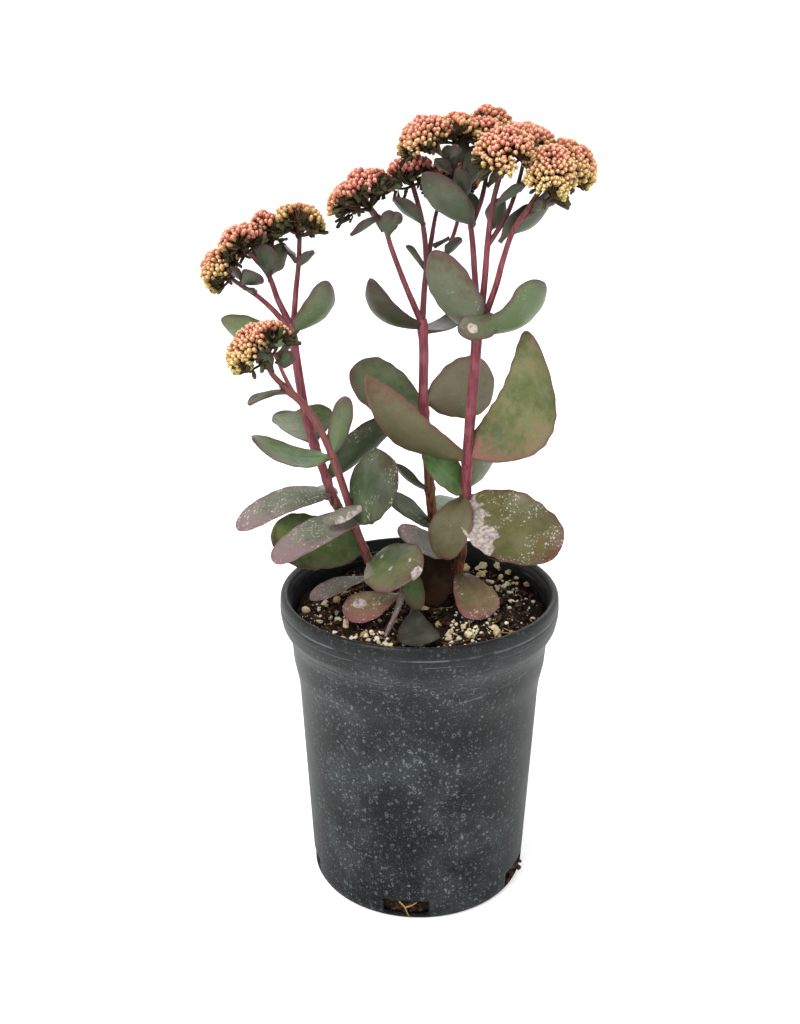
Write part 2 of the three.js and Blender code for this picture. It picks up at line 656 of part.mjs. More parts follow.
Object.entries(HEADS).forEach(([name, head], i) => {
  const whole = headSolid(head, FIRST_SEED + i);
  const cut = Object.values(clear).reduce((body, stem) => body.subtract(stem), whole);
  plant.add(meshOf(name, largestBody(cut), "buds"));
});

export default group;
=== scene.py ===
"""Potted stonecrop in flower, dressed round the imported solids.

The tables give lengths in millimetres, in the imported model's frame: +Z up, the plant's front at -Y,
the origin at the centre of the pot's underside. Meshes are made in metres. Every surface is worked
out with numpy as a grid or as copies of one small shape, and every finish is a tree of procedural
nodes on object coordinates and on the marks that a surface carries at its points.
"""

import json
import logging
import math
from collections.abc import Sequence
from dataclasses import dataclass, field
from enum import Enum
from functools import cache, cached_property

import bmesh
import bpy
import numpy as np
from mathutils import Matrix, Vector


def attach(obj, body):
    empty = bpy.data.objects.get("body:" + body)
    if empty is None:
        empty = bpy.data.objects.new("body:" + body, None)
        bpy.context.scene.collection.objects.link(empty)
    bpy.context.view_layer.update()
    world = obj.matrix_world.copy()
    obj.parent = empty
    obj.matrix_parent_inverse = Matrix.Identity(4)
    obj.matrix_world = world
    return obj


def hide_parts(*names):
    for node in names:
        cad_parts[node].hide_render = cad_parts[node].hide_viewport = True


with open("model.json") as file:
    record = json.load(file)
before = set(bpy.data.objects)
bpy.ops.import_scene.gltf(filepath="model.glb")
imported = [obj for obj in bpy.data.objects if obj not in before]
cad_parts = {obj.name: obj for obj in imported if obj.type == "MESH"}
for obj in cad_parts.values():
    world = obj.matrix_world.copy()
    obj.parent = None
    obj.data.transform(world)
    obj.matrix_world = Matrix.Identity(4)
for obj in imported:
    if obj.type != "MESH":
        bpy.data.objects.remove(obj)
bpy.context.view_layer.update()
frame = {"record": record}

MM = 0.001
Array = np.ndarray
Draw = np.random.Generator
Material = bpy.types.Material
Pair = tuple[float, float]
Point = tuple[float, float, float]
Socket = bpy.types.NodeSocket
log = logging.getLogger("stonecrop")

# Range of a random spin, in radians
ANY_TURN: Pair = (0, 6.3)
# Turn from one place of a sunflower spiral to the next
GOLDEN_TURN = 2.39996
# Samples between two given points of a smooth path
SPAN_STEPS = 24

# How much a blade's sections crowd towards its tip, and where the last one lies
ROW_CROWDING = 1.7
LAST_ROW = 0.9985
# Power by which its width falls off towards the tip, and its least half width
TIP_ROUNDNESS = 2.3
LEAST_HALF_WIDTH = 0.25
# Where the neck ends and the full width begins
NECK_SPAN: Pair = (1.0, 7.5)
# Length of a margin's waves and their depth as a share of the half width
TOOTH_LENGTHS: Pair = (8, 11)
TOOTH_DEPTH = 0.018
# Thickness at the margin, what the midrib adds, and the share of that lost by the tip
MARGIN_THICKNESS = 0.9
RIB_THICKNESS = 2.0
THINNING = 0.45
GROOVE_DEPTH = 0.3


# Surfaces


def unit(vectors: Array) -> Array:
    """Each vector divided by its length."""
    return vectors / np.maximum(np.linalg.norm(vectors, axis=-1, keepdims=True), 1e-12)


def smoothstep(values: Array, low: float, high: float) -> Array:
    """0 below low and 1 above high, with 3t^2 - 2t^3 between them."""
    t = np.clip((values - low) / (high - low), 0, 1)
    return t * t * (3 - 2 * t)


@dataclass
class Surface:
    """Points in millimetres, their faces, and the marks that the finishes read at each point."""

    points: Array
    quads: Array = field(default_factory=lambda: np.zeros((0, 4), int))
    tris: Array = field(default_factory=lambda: np.zeros((0, 3), int))
    marks: dict[str, Array] = field(default_factory=dict)

    @classmethod
    def joined(cls, parts: Sequence["Surface"]) -> "Surface":
        """One surface of several. A mark that a part lacks is 0 on it.

        Args:
            parts: the surfaces, in order.

        Returns:
            The surface that holds them all.
        """
        starts = np.cumsum([0] + [len(part.points) for part in parts[:-1]])
        names = sorted({name for part in parts for name in part.marks})
        return cls(
            np.concatenate([part.points for part in parts]),
            np.concatenate([part.quads + start for part, start in zip(parts, starts)]),
            np.concatenate([part.tris + start for part, start in zip(parts, starts)]),
            {
                name: np.concatenate(
                    [part.marks.get(name, np.zeros(len(part.points))) for part in parts]
                )
                for name in names
            },
        )

    def make(
        self, name: str, material: Material, slot: str, stands_for: Sequence[str] = (),
        smooth: bool = True,
    ) -> None:
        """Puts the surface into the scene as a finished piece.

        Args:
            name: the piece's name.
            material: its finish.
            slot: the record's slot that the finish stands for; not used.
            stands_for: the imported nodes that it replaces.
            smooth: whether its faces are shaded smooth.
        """
        mesh = bpy.data.meshes.new(name)
        mesh.from_pydata(self.points * MM, [], self.quads.tolist() + self.tris.tolist())
        for mark, values in self.marks.items():
            made = mesh.attributes.new(mark, "FLOAT", "POINT")
            made.data.foreach_set("value", np.asarray(values, np.float32))
        mesh.polygons.foreach_set("use_smooth", np.full(len(mesh.polygons), smooth))
        mesh.materials.append(material)
        mesh.update()
        piece = bpy.data.objects.new(name, mesh)
        bpy.context.scene.collection.objects.link(piece)
        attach(piece, "root")
        if stands_for:
            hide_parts(*stands_for)
        log.info("%s: %d points, %d faces", name, len(mesh.vertices), len(mesh.polygons))


def grid_quads(rows: int, columns: int) -> Array:
    """Quads of a grid of points that is stored row by row and whose last column joins the first.

    Args:
        rows: number of rows.
        columns: number of points in a row.

    Returns:
        An array of quads that look outwards when the columns run right-handed about the rows.
    """
    i, j = np.meshgrid(np.arange(rows - 1), np.arange(columns), indexing="ij")
    a, b = i * columns + j, i * columns + (j + 1) % columns
    return np.stack([a, b, b + columns, a + columns], -1).reshape(-1, 4)


def closed_tube(rings: Array, marks: dict[str, Array], poles: Array | None = None) -> Surface:
    """Surface through a stack of closed rings, shut by a fan of triangles at each end.

    Args:
        rings: rows x columns x 3 points. The columns run right-handed about the rows.
        marks: rows x columns values.
        poles: the two end points, or None for the middles of the end rings.

    Returns:
        The closed surface.
    """
    rows, columns = rings.shape[:2]
    ends = rings[[0, -1]].mean(1) if poles is None else poles
    j = np.arange(columns)
    k = (j + 1) % columns
    first, last, top = rows * columns, rows * columns + 1, (rows - 1) * columns
    below = np.stack([np.full(columns, first), k, j], -1)
    above = np.stack([np.full(columns, last), top + j, top + k], -1)
    shown = {
        name: np.concatenate([values.ravel(), values[[0, -1]].mean(1)])
        for name, values in marks.items()
    }
    points = np.concatenate([rings.reshape(-1, 3), ends])
    return Surface(points, grid_quads(rows, columns), np.concatenate([below, above]), shown)


def turned(line: Array, turn: Array) -> Array:
    """A line of radii and heights turned about +Z: radius times cosine and sine, and the height.

    Args:
        line: n x 2 radii and heights.
        turn: m angles.

    Returns:
        n x m x 3 points.
    """
    radius, height = line.T[..., None]
    flat = [radius * np.cos(turn), radius * np.sin(turn)]
    return np.stack([*flat, np.broadcast_to(height, flat[0].shape)], -1)


def smooth_path(points: Sequence[Point], step: float) -> Array:
    """Smooth curve through all the points, as cubic spans, sampled at even steps of its length.

    Each knot's parameter grows by the square root of the distance to the next point, and each
    tangent is the chord slope before it, plus the one after it, less the slope across both.

    Args:
        points: the points that the curve passes through.
        step: distance between samples.

    Returns:
        The samples, n x 3.
    """
    p = np.array(points, float)
    p = np.concatenate([[2 * p[0] - p[1]], p, [2 * p[-1] - p[-2]]])
    knots = np.concatenate([[0], np.cumsum(np.linalg.norm(np.diff(p, axis=0), axis=1) ** 0.5)])
    chords = np.diff(p, axis=0) / np.diff(knots)[:, None]
    across = (p[2:] - p[:-2]) / (knots[2:] - knots[:-2])[:, None]
    tangents = chords[1:] + chords[:-1] - across
    span = np.diff(knots[1:-1])[:, None, None]
    t = np.linspace(0, 1, SPAN_STEPS + 1)[None, :-1, None]
    start, end = p[1:-2, None], p[2:-1, None]
    rise, fall = tangents[:-1, None] * span, tangents[1:, None] * span
    dense = (
        (2 * t**3 - 3 * t**2 + 1) * start
        + (t**3 - 2 * t**2 + t) * rise
        + (3 * t**2 - 2 * t**3) * end
        + (t**3 - t**2) * fall
    ).reshape(-1, 3)
    dense = np.concatenate([dense, p[-2:-1]])
    run = np.concatenate([[0], np.cumsum(np.linalg.norm(np.diff(dense, axis=0), axis=1))])
    even = np.linspace(0, run[-1], max(3, round(run[-1] / step) + 1))
    return np.stack([np.interp(even, run, dense[:, k]) for k in range(3)], -1)


def frames_along(path: Array) -> tuple[Array, Array]:
    """Two directions across a path at each of its points, right-handed about its run.

    They come from the world axis that the path is furthest from, so they don't spin.

    Args:
        path: n x 3 points.

    Returns:
        The two sets of n x 3 directions.
    """
    run = unit(np.gradient(path, axis=0))
    axis = np.eye(3)[np.argmin(np.abs(run).max(0))]
    side = unit(np.cross(axis, run))
    return side, np.cross(run, side)


def frames_to(axes: Array, spin: Array) -> Array:
    """Turns that take +Z to each axis, after a spin about it.

    Args:
        axes: n x 3 directions.
        spin: n angles.

    Returns:
        n x 3 x 3 matrices, their columns the turned X, Y and Z.
    """
    z = unit(axes)
    helper = np.where(np.abs(z[:, :1]) < 0.8, [[1.0, 0, 0]], [[0, 1.0, 0]])
    x = unit(np.cross(helper, z))
    y = np.cross(z, x)
    c, s = np.cos(spin)[:, None], np.sin(spin)[:, None]
    return np.stack([c * x + s * y, c * y - s * x, z], -1)


def scatter(shape: Surface, places: Array, turns: Array, marks: dict[str, Array]) -> Surface:
    """Copies of a small shape: each point is its place plus its turn times the shape's point.

    Args:
        shape: the shape that is repeated.
        places: n x 3 places.
        turns: n x 3 x 3 turns, which may also stretch.
        marks: n values for each mark that is the same all over a copy.

    Returns:
        One surface of all the copies.
    """
    n, k = len(places), len(shape.points)
    points = np.einsum("nij,kj->nki", turns, shape.points) + places[:, None]
    shift = (np.arange(n) * k)[:, None, None]
    shown = {name: np.tile(values, n) for name, values in shape.marks.items()}
    shown.update({name: np.repeat(values, k) for name, values in marks.items()})
    return Surface(
        points.reshape(-1, 3),
        (shape.quads[None] + shift).reshape(-1, 4),
        (shape.tris[None] + shift).reshape(-1, 3),
        shown,
    )


def stalks(
    starts: Array, bends: Array, ends: Array, radii: Pair, sides: int, steps: int
) -> Surface:
    """Thin round stalks, each along a quadratic curve from start to end, drawn towards its bend.

    Args:
        starts: n x 3 points.
        bends: n x 3 middle control points.
        ends: n x 3 points.
        radii: radius at the start and at the end.
        sides: sides of a stalk.
        steps: rings of a stalk.

    Returns:
        One surface of all the stalks, with the mark "rise" from 0 at a start to 1 at an end.
    """
    t = np.linspace(0, 1, steps)[None, :, None, None]
    a, b, c = starts[:, None, None], bends[:, None, None], ends[:, None, None]
    middle = (1 - t) ** 2 * a + 2 * t * (1 - t) * b + t**2 * c
    turns = frames_to(ends - starts, np.zeros(len(starts)))
    angle = np.linspace(0, 2 * np.pi, sides, endpoint=False)
    cosine, sine = np.cos(angle)[:, None], np.sin(angle)[:, None]
    ring = cosine * turns[:, None, :, 0] + sine * turns[:, None, :, 1]
    radius = radii[0] + (radii[1] - radii[0]) * t
    points = middle + radius * ring[:, None]
    one = grid_quads(steps, sides)
    fan = np.arange(1, sides - 1)
    zero, top = np.zeros_like(fan), np.full_like(fan, (steps - 1) * sides)
    ends_shut = np.concatenate(
        [np.stack([zero, fan + 1, fan], -1), np.stack([top, top + fan, top + fan + 1], -1)]
    )
    shift = (np.arange(len(starts)) * steps * sides)[:, None, None]
    rise = np.broadcast_to(t[..., 0], points.shape[:3])
    return Surface(
        points.reshape(-1, 3),
        (one[None] + shift).reshape(-1, 4),
        (ends_shut[None] + shift).reshape(-1, 3),
        {"rise": rise.ravel()},
    )


class Unevenness:
    """Smooth noise: a sum of sine waves of nearly one length, in seeded directions."""

    WAVES = 14

    def __init__(self, seed: int, length: float) -> None:
        """Draws the waves.

        Args:
            seed: of the random draw.
            length: the mean wave length in millimetres.
        """
        random = np.random.default_rng(seed)
        ways = unit(random.normal(size=(self.WAVES, 3)))
        self.waves = ways * (2 * np.pi / (length * random.uniform(0.6, 1.6, (self.WAVES, 1))))
        self.starts = random.uniform(0, 2 * np.pi, self.WAVES)

    def __call__(self, points: Array) -> Array:
        """The noise at each point, mostly within -1 and 1."""
        return np.sin(points @ self.waves.T + self.starts).sum(-1) / math.sqrt(self.WAVES)


# Finishes


def tint(code: object) -> object:
    """Linear colour of a display colour, by the standard display curve.

    Args:
        code: the display colour as six hex digits, or a socket, which is left as it is.

    Returns:
        Red, green, blue and a full opacity, or the socket.
    """
    if not isinstance(code, str):
        return code
    values = np.array([int(code[k : k + 2], 16) for k in (0, 2, 4)]) / 255
    linear = np.where(values <= 0.04045, values / 12.92, ((values + 0.055) / 1.055) ** 2.4)
    return (*map(float, linear), 1.0)


class Paint:
    """Node tree of one finish, with short names for the nodes that the finishes share."""

    def __init__(self, name: str) -> None:
        """Starts an empty tree.

        Args:
            name: the material's name.
        """
        self.material = bpy.data.materials.new(name)
        self.material.use_nodes = True
        self.tree = self.material.node_tree
        self.tree.nodes.clear()
        self.place = self.node("TexCoord", {}).outputs["Object"]

    def node(
        self, kind: str, inputs: dict[str | int, object], **settings: object
    ) -> bpy.types.Node:
        """Adds a shader node.

        Args:
            kind: its type without the common prefix.
            inputs: a socket to link or a value to set, for each input by name or number.
            settings: the node's own properties.

        Returns:
            The node.
        """
        made = self.tree.nodes.new("ShaderNode" + kind)
        for key, value in settings.items():
            setattr(made, key, value)
        for key, value in inputs.items():
            if isinstance(value, Socket):
                self.tree.links.new(value, made.inputs[key])
            else:
                made.inputs[key].default_value = value
        return made

    def noise(self, scale: float, detail: float, place: Socket | None = None) -> Socket:
        """Noise from 0 to 1 about 0.5, with scale features in a metre and detail finer layers."""
        inputs = {"Vector": place or self.place, "Scale": scale, "Detail": detail}
        return self.node("TexNoise", inputs).outputs[0]

    def strayed(self, scale: float, reach: float) -> Socket:
        """Object coordinates moved about by noise.

        Args:
            scale: features of the noise in a metre.
            reach: twice the greatest move, in millimetres.

        Returns:
            The moved coordinates.
        """
        noise = self.node("TexNoise", {"Vector": self.place, "Scale": scale, "Detail": 3})
        centred = self.node(
            "VectorMath", {0: noise.outputs["Color"], 1: (0.5, 0.5, 0.5)}, operation="SUBTRACT"
        )
        stray = self.node(
            "VectorMath", {0: centred.outputs[0], "Scale": reach * MM}, operation="SCALE"
        )
        moved = self.node("VectorMath", {0: self.place, 1: stray.outputs[0]}, operation="ADD")
        return moved.outputs[0]

    def cells(self, scale: float, place: Socket | None = None) -> tuple[Socket, Socket]:
        """Scattered points: the distance to the nearest one, and its random value.

        Args:
            scale: points in a metre.
            place: the coordinates that they lie in, or None for object coordinates.

        Returns:
            The distance in cells, and the value.
        """
        made = self.node("TexVoronoi", {"Vector": place or self.place, "Scale": scale})
        apart = self.node("SeparateColor", {0: made.outputs["Color"]})
        return made.outputs["Distance"], apart.outputs[0]

    def mark(self, name: str) -> Socket:
        """The value that the surface carries under a name."""
        return self.node("Attribute", {}, attribute_name=name).outputs["Fac"]

    def axes(self) -> tuple[Socket, Socket, Socket]:
        """Object coordinates as three values, in metres."""
        return tuple(self.node("SeparateXYZ", {0: self.place}).outputs)

    def math(self, operation: str, a: object, b: object = 0.0, clamp: bool = False) -> Socket:
        """One step of arithmetic on two sockets or values."""
        made = self.node("Math", {0: a, 1: b}, operation=operation, use_clamp=clamp)
        return made.outputs[0]

    def times(self, a: object, b: object, clamp: bool = False) -> Socket:
        """Product of two sockets or values."""
        return self.math("MULTIPLY", a, b, clamp)

    def plus(self, a: object, b: object, clamp: bool = False) -> Socket:
        """Sum of two sockets or values."""
        return self.math("ADD", a, b, clamp)

    def fade(self, value: Socket, low: object, high: object, a: float = 0, b: float = 1) -> Socket:
        """Smooth change from a to b as the value goes from low to high."""
        inputs = {"Value": value, "From Min": low, "From Max": high, "To Min": a, "To Max": b}
        return self.node("MapRange", inputs, interpolation_type="SMOOTHSTEP").outputs[0]

    def blend(self, share: object, a: object, b: object) -> Socket:
        """Colour between a and b, each a socket or six hex digits, with that share of b."""
        return self.node("Mix", {0: share, 6: tint(a), 7: tint(b)}, data_type="RGBA").outputs[2]

    def bump(self, height: Socket, depth: float) -> Socket:
        """Normal of a relief that is depth millimetres deep."""
        return self.node("Bump", {"Height": height, "Distance": depth * MM}).outputs[0]

    def finish(
        self, colour: Socket, roughness: object, normal: Socket, **own: object
    ) -> Material:
        """Ends the tree in a surface shader.

        Args:
            colour: base colour.
            roughness: a socket or a number.
            normal: relief.
            own: other inputs of the shader by name, with _ for a space.

        Returns:
            The material.
        """
        inputs = {"Base Color": colour, "Roughness": roughness, "Normal": normal}
        inputs.update({name.replace("_", " "): value for name, value in own.items()})
        shader = self.node("BsdfPrincipled", inputs)
        self.node("OutputMaterial", {"Surface": shader.outputs[0]})
        return self.material


@dataclass(frozen=True)
class Drops:
    """Dried drops of one size: how many in a metre, and their radii and soft edge in cells."""

    scale: float
    least: float
    spread: float
    edge: float
    strength: float
    hollow: bool = False


@dataclass(frozen=True)
class PotFinish:
    """Charcoal moulded plastic, dulled by dried water spots that lie thickest at the front left.

    drops are laid one over the other. scuffs are the height, half width and strength of the fine
    pale lines round the collar, in metres, as is edge, the one under the lip, partly a scuff and
    partly a painted highlight, and slant is the height, half width and strength of a line that
    rises to the right by slant_rise.
    """

    body: str = "101213"
    worn: str = "1b1e1f"
    spot: str = "8a9699"
    lip: str = "050607"
    # Near black inside of the wall: painted shade in the pot's hollow, darker than the plastic's own
    # colour.
    inside: str = "020202"
    drops: tuple[Drops, ...] = (
        Drops(320, 0.1, 0.24, 0.13, 0.85, True),
        Drops(450, -0.06, 0.34, 0.16, 0.8),
        Drops(760, -0.16, 0.42, 0.3, 0.7),
    )
    # The line under the lip: partly a scuff, partly a painted highlight along that edge.
    edge: Point = (0.1808, 0.0006, 1.0)
    scuffs: tuple[Point, ...] = (
        (0.1777, 0.0003, 0.7), (0.1642, 0.0003, 0.8), (0.1590, 0.0002, 0.5),
    )
    slant: Point = (0.1475, 0.0004, 0.8)
    slant_rise: float = 0.14
    wall_squared: Pair = (0.0036, 0.0039)
    lip_heights: Pair = (0.181, 0.1835)
    collar_heights: Pair = (0.166, 0.18)

    @cache
    def build(self) -> Material:
        """Makes the material: cloudy body, dark lip, the inside near black as painted shade, then film,
        dust, drops and scuffs, with a painted highlight under the lip.

        Returns:
            The material.
        """
        paint = Paint("spotted_charcoal_plastic")
        x, y, z = paint.axes()
        cloud = paint.noise(38, 4)
        squared = paint.plus(paint.times(x, x), paint.times(y, y))
        outside = paint.fade(squared, *self.wall_squared)
        lip = paint.times(paint.fade(z, *self.lip_heights), 0.75)
        colour = paint.blend(paint.fade(cloud, 0.3, 0.7), self.body, self.worn)
        colour = paint.blend(lip, colour, self.lip)
        # Painted shade: the inside of the wall takes the near black inside colour.
        colour = paint.blend(outside, self.inside, colour)
        thick = paint.times(self.dulled(paint, cloud), outside)
        marks = self.dried(paint, thick)
        dust = paint.times(paint.fade(paint.noise(1600, 2), 0.56, 0.74), thick)
        film = paint.times(paint.fade(cloud, 0.45, 0.7), thick)
        # Scuffs, with the painted highlight under the lip among them.
        scuffs = paint.times(self.scuffs_and_highlight(paint), outside)
        for layer, strength in ((film, 0.05), (dust, 0.24), (marks, 0.5), (scuffs, 0.32)):
            colour = paint.blend(paint.times(layer, strength), colour, self.spot)
        rough = paint.fade(cloud, 0.2, 0.8, 0.38, 0.52)
        rough = paint.plus(rough, paint.times(marks, 0.25))
        relief = paint.bump(paint.noise(1300, 2), 0.05)
        shine = paint.fade(squared, 0.0036, 0.0062, 0.0, 0.24)
        return paint.finish(colour, rough, relief, Specular_IOR_Level=shine)

    def dulled(self, paint: Paint, cloud: Socket) -> Socket:
        """How thickly the wall is dulled: most at the front left, less on the collar, in clouds.

        Args:
            paint: the tree.
            cloud: the broad noise of the body.

        Returns:
            The thickness, from 0 to 1.
        """
        x, y, z = paint.axes()
        toward = paint.plus(paint.times(x, -0.45), paint.times(y, -0.9))
        side = paint.fade(toward, -0.06, 0.07, 0.4, 1.0)
        thick = paint.times(side, paint.fade(cloud, 0.3, 0.65, 0.62, 1))
        return paint.times(thick, paint.fade(z, *self.collar_heights, 1, 0.35))

    def dried(self, paint: Paint, thick: Socket) -> Socket:
        """The drops of all sizes, each a disc or a ring round a scattered point, and broken.

        Args:
            paint: the tree.
            thick: how thickly they lie.

        Returns:
            Their strength, from 0 to 1.
        """
        strayed = paint.strayed(500, 1.6)
        marks = None
        for drops in self.drops:
            distance, chance = paint.cells(drops.scale, strayed)
            varied = paint.times(paint.math("POWER", chance, 2.0), drops.spread)
            rim = paint.math("SUBTRACT", distance, paint.plus(varied, drops.least))
            if drops.hollow:
                rim = paint.math("ABSOLUTE", rim)
            drop = paint.fade(rim, 0.02, drops.edge, drops.strength, 0)
            drop = paint.times(drop, paint.fade(chance, 0.42, 0.8))
            marks = drop if marks is None else paint.math("MAXIMUM", marks, drop)
        broken = paint.fade(paint.noise(300, 3), 0.38, 0.62, 0.15, 1)
        return paint.times(paint.times(marks, broken), thick, True)

    def line(self, paint: Paint, level: Socket, half: float, strength: float) -> Socket:
        """A thin line where a height above it is nearly 0."""
        return paint.fade(paint.math("ABSOLUTE", level), half * 0.3, half, strength, 0)

    def scuffs_and_highlight(self, paint: Paint) -> Socket:
        """Pale broken lines: collar scuffs, a slanting one, and under the lip a scuff and painted
        highlight.

        Args:
            paint: the tree.

        Returns:
            Their strength, from 0 to 1.
        """
        x, _, z = paint.axes()
        wavy = paint.plus(z, paint.times(paint.noise(14, 2), 0.0016))
        # Painted highlight, along with a scuff: the pale line under the lip.
        height, half, strength = self.edge
        lines = self.line(paint, paint.math("SUBTRACT", z, height), half, strength)
        for height, half, strength in self.scuffs:
            more = self.line(paint, paint.math("SUBTRACT", wavy, height), half, strength)
            lines = paint.math("MAXIMUM", lines, more)
        height, half, strength = self.slant
        level = paint.math("SUBTRACT", z, paint.times(x, self.slant_rise))
        slant = self.line(paint, paint.math("SUBTRACT", level, height), half, strength)
        slant = paint.times(slant, paint.fade(x, 0.0, 0.02))
        broken = paint.fade(paint.noise(60, 4), 0.42, 0.6)
        return paint.times(paint.math("MAXIMUM", lines, slant), broken)


@dataclass(frozen=True)
class GrainFinish:
    """Loose matter whose copies each have their own tone: bark, grit, fibres, stalks."""

    name: str
    dark: str
    light: str
    roughness: float = 0.85
    grain: float = 1500
    depth: float = 0.15
    gloss: float = 0.1

    @cache
    def build(self) -> Material:
        """Makes the material: each copy's tone, stirred by fine noise.

        Returns:
            The material.
        """
        paint = Paint(self.name)
        fine = paint.noise(self.grain, 4)
        share = paint.plus(paint.mark("tone"), paint.fade(fine, 0.25, 0.75, -0.3, 0.3), True)
        colour = paint.blend(share, self.dark, self.light)
        relief = paint.bump(fine, self.depth)
        return paint.finish(colour, self.roughness, relief, Specular_IOR_Level=self.gloss)


@dataclass(frozen=True)
class StemFinish:
    """Crimson stalk with fine lengthwise streaks and a pale bloom, corky where it is old, and darkened
    by painted shade under the flowers.
    """

    deep: str = "5d2733"
    light: str = "88424b"
    bloom: str = "946a6d"
    # Colour of the painted shade under the flower heads.
    painted_shade: str = "33221f"
    cork: str = "3b2219"
    tan: str = "855338"
    sunned: str = "714a3f"

    @cache
    def build(self) -> Material:
        """Makes the material from the marks shade, age and warm that the stalk carries.

        Returns:
            The material.
        """
        paint = Paint("crimson_stalk")
        drawn = paint.node("Mapping", {"Vector": paint.place, "Scale": (1, 1, 0.06)}).outputs[0]
        streak = paint.noise(900, 3, drawn)
        cloud = paint.noise(110, 3)
        colour = paint.blend(paint.fade(streak, 0.3, 0.7), self.deep, self.light)
        colour = paint.blend(paint.fade(cloud, 0.5, 0.8, 0, 0.45), colour, self.bloom)
        # Painted shade under the flower heads, by the mark shade.
        colour = paint.blend(paint.times(paint.mark("shade"), 0.85), colour, self.painted_shade)
        brown = paint.blend(paint.fade(streak, 0.35, 0.7), self.cork, self.tan)
        age = paint.plus(paint.mark("age"), paint.fade(cloud, 0.3, 0.7, -0.25, 0.25), True)
        colour = paint.blend(paint.fade(age, 0.25, 0.75), colour, brown)
        colour = paint.blend(paint.times(paint.mark("warm"), 0.6), colour, self.sunned)
        rough = paint.fade(cloud, 0.2, 0.8, 0.42, 0.6)
        return paint.finish(colour, rough, paint.bump(streak, 0.12), Specular_IOR_Level=0.25)


@dataclass(frozen=True)
class BudFinish:
    """Closed buds: green-yellow at the foot, salmon along the sides and a pale point; those of the
    sunken layer darkened by painted shade.

    Each pair is the colour of a pink bud and that of a yellow-green one.
    """

    foot: tuple[str, str] = ("8a4236", "66702c")
    side: tuple[str, str] = ("a94a46", "9c8640")
    ridge: tuple[str, str] = ("cf7d68", "c2a960")
    point: tuple[str, str] = ("efc09f", "e6d292")
    # Painted shade colour of the buds in the sunken layer.
    sunk: tuple[str, str] = ("74342b", "4d4c22")
    blush: str = "b9545a"

    @cache
    def build(self) -> Material:
        """Makes the material from the marks tone, rise, lobe and sunk that the buds carry.

        Returns:
            The material.
        """
        paint = Paint("salmon_buds")
        tone, rise, lobe = paint.mark("tone"), paint.mark("rise"), paint.mark("lobe")
        side = paint.blend(lobe, paint.blend(tone, *self.side), paint.blend(tone, *self.ridge))
        foot = paint.blend(tone, *self.foot)
        colour = paint.blend(paint.fade(rise, 0.12, 0.42), foot, side)
        top = paint.plus(rise, paint.times(lobe, 0.14))
        colour = paint.blend(paint.fade(top, 0.7, 1.0), colour, paint.blend(tone, *self.point))
        pink = paint.fade(tone, 0.2, 0.9, 0.35, 0.05)
        patchy = paint.times(paint.fade(paint.noise(160, 3), 0.45, 0.7), pink)
        colour = paint.blend(patchy, colour, self.blush)
        # Painted shade: the buds of the sunken layer, below and between the top ones, are darkened.
        sunk = paint.times(paint.mark("sunk"), 0.6)
        colour = paint.blend(sunk, colour, paint.blend(tone, *self.sunk))
        relief = paint.bump(paint.noise(900, 2), 0.05)
        return paint.finish(colour, 0.6, relief, Specular_IOR_Level=0.2)


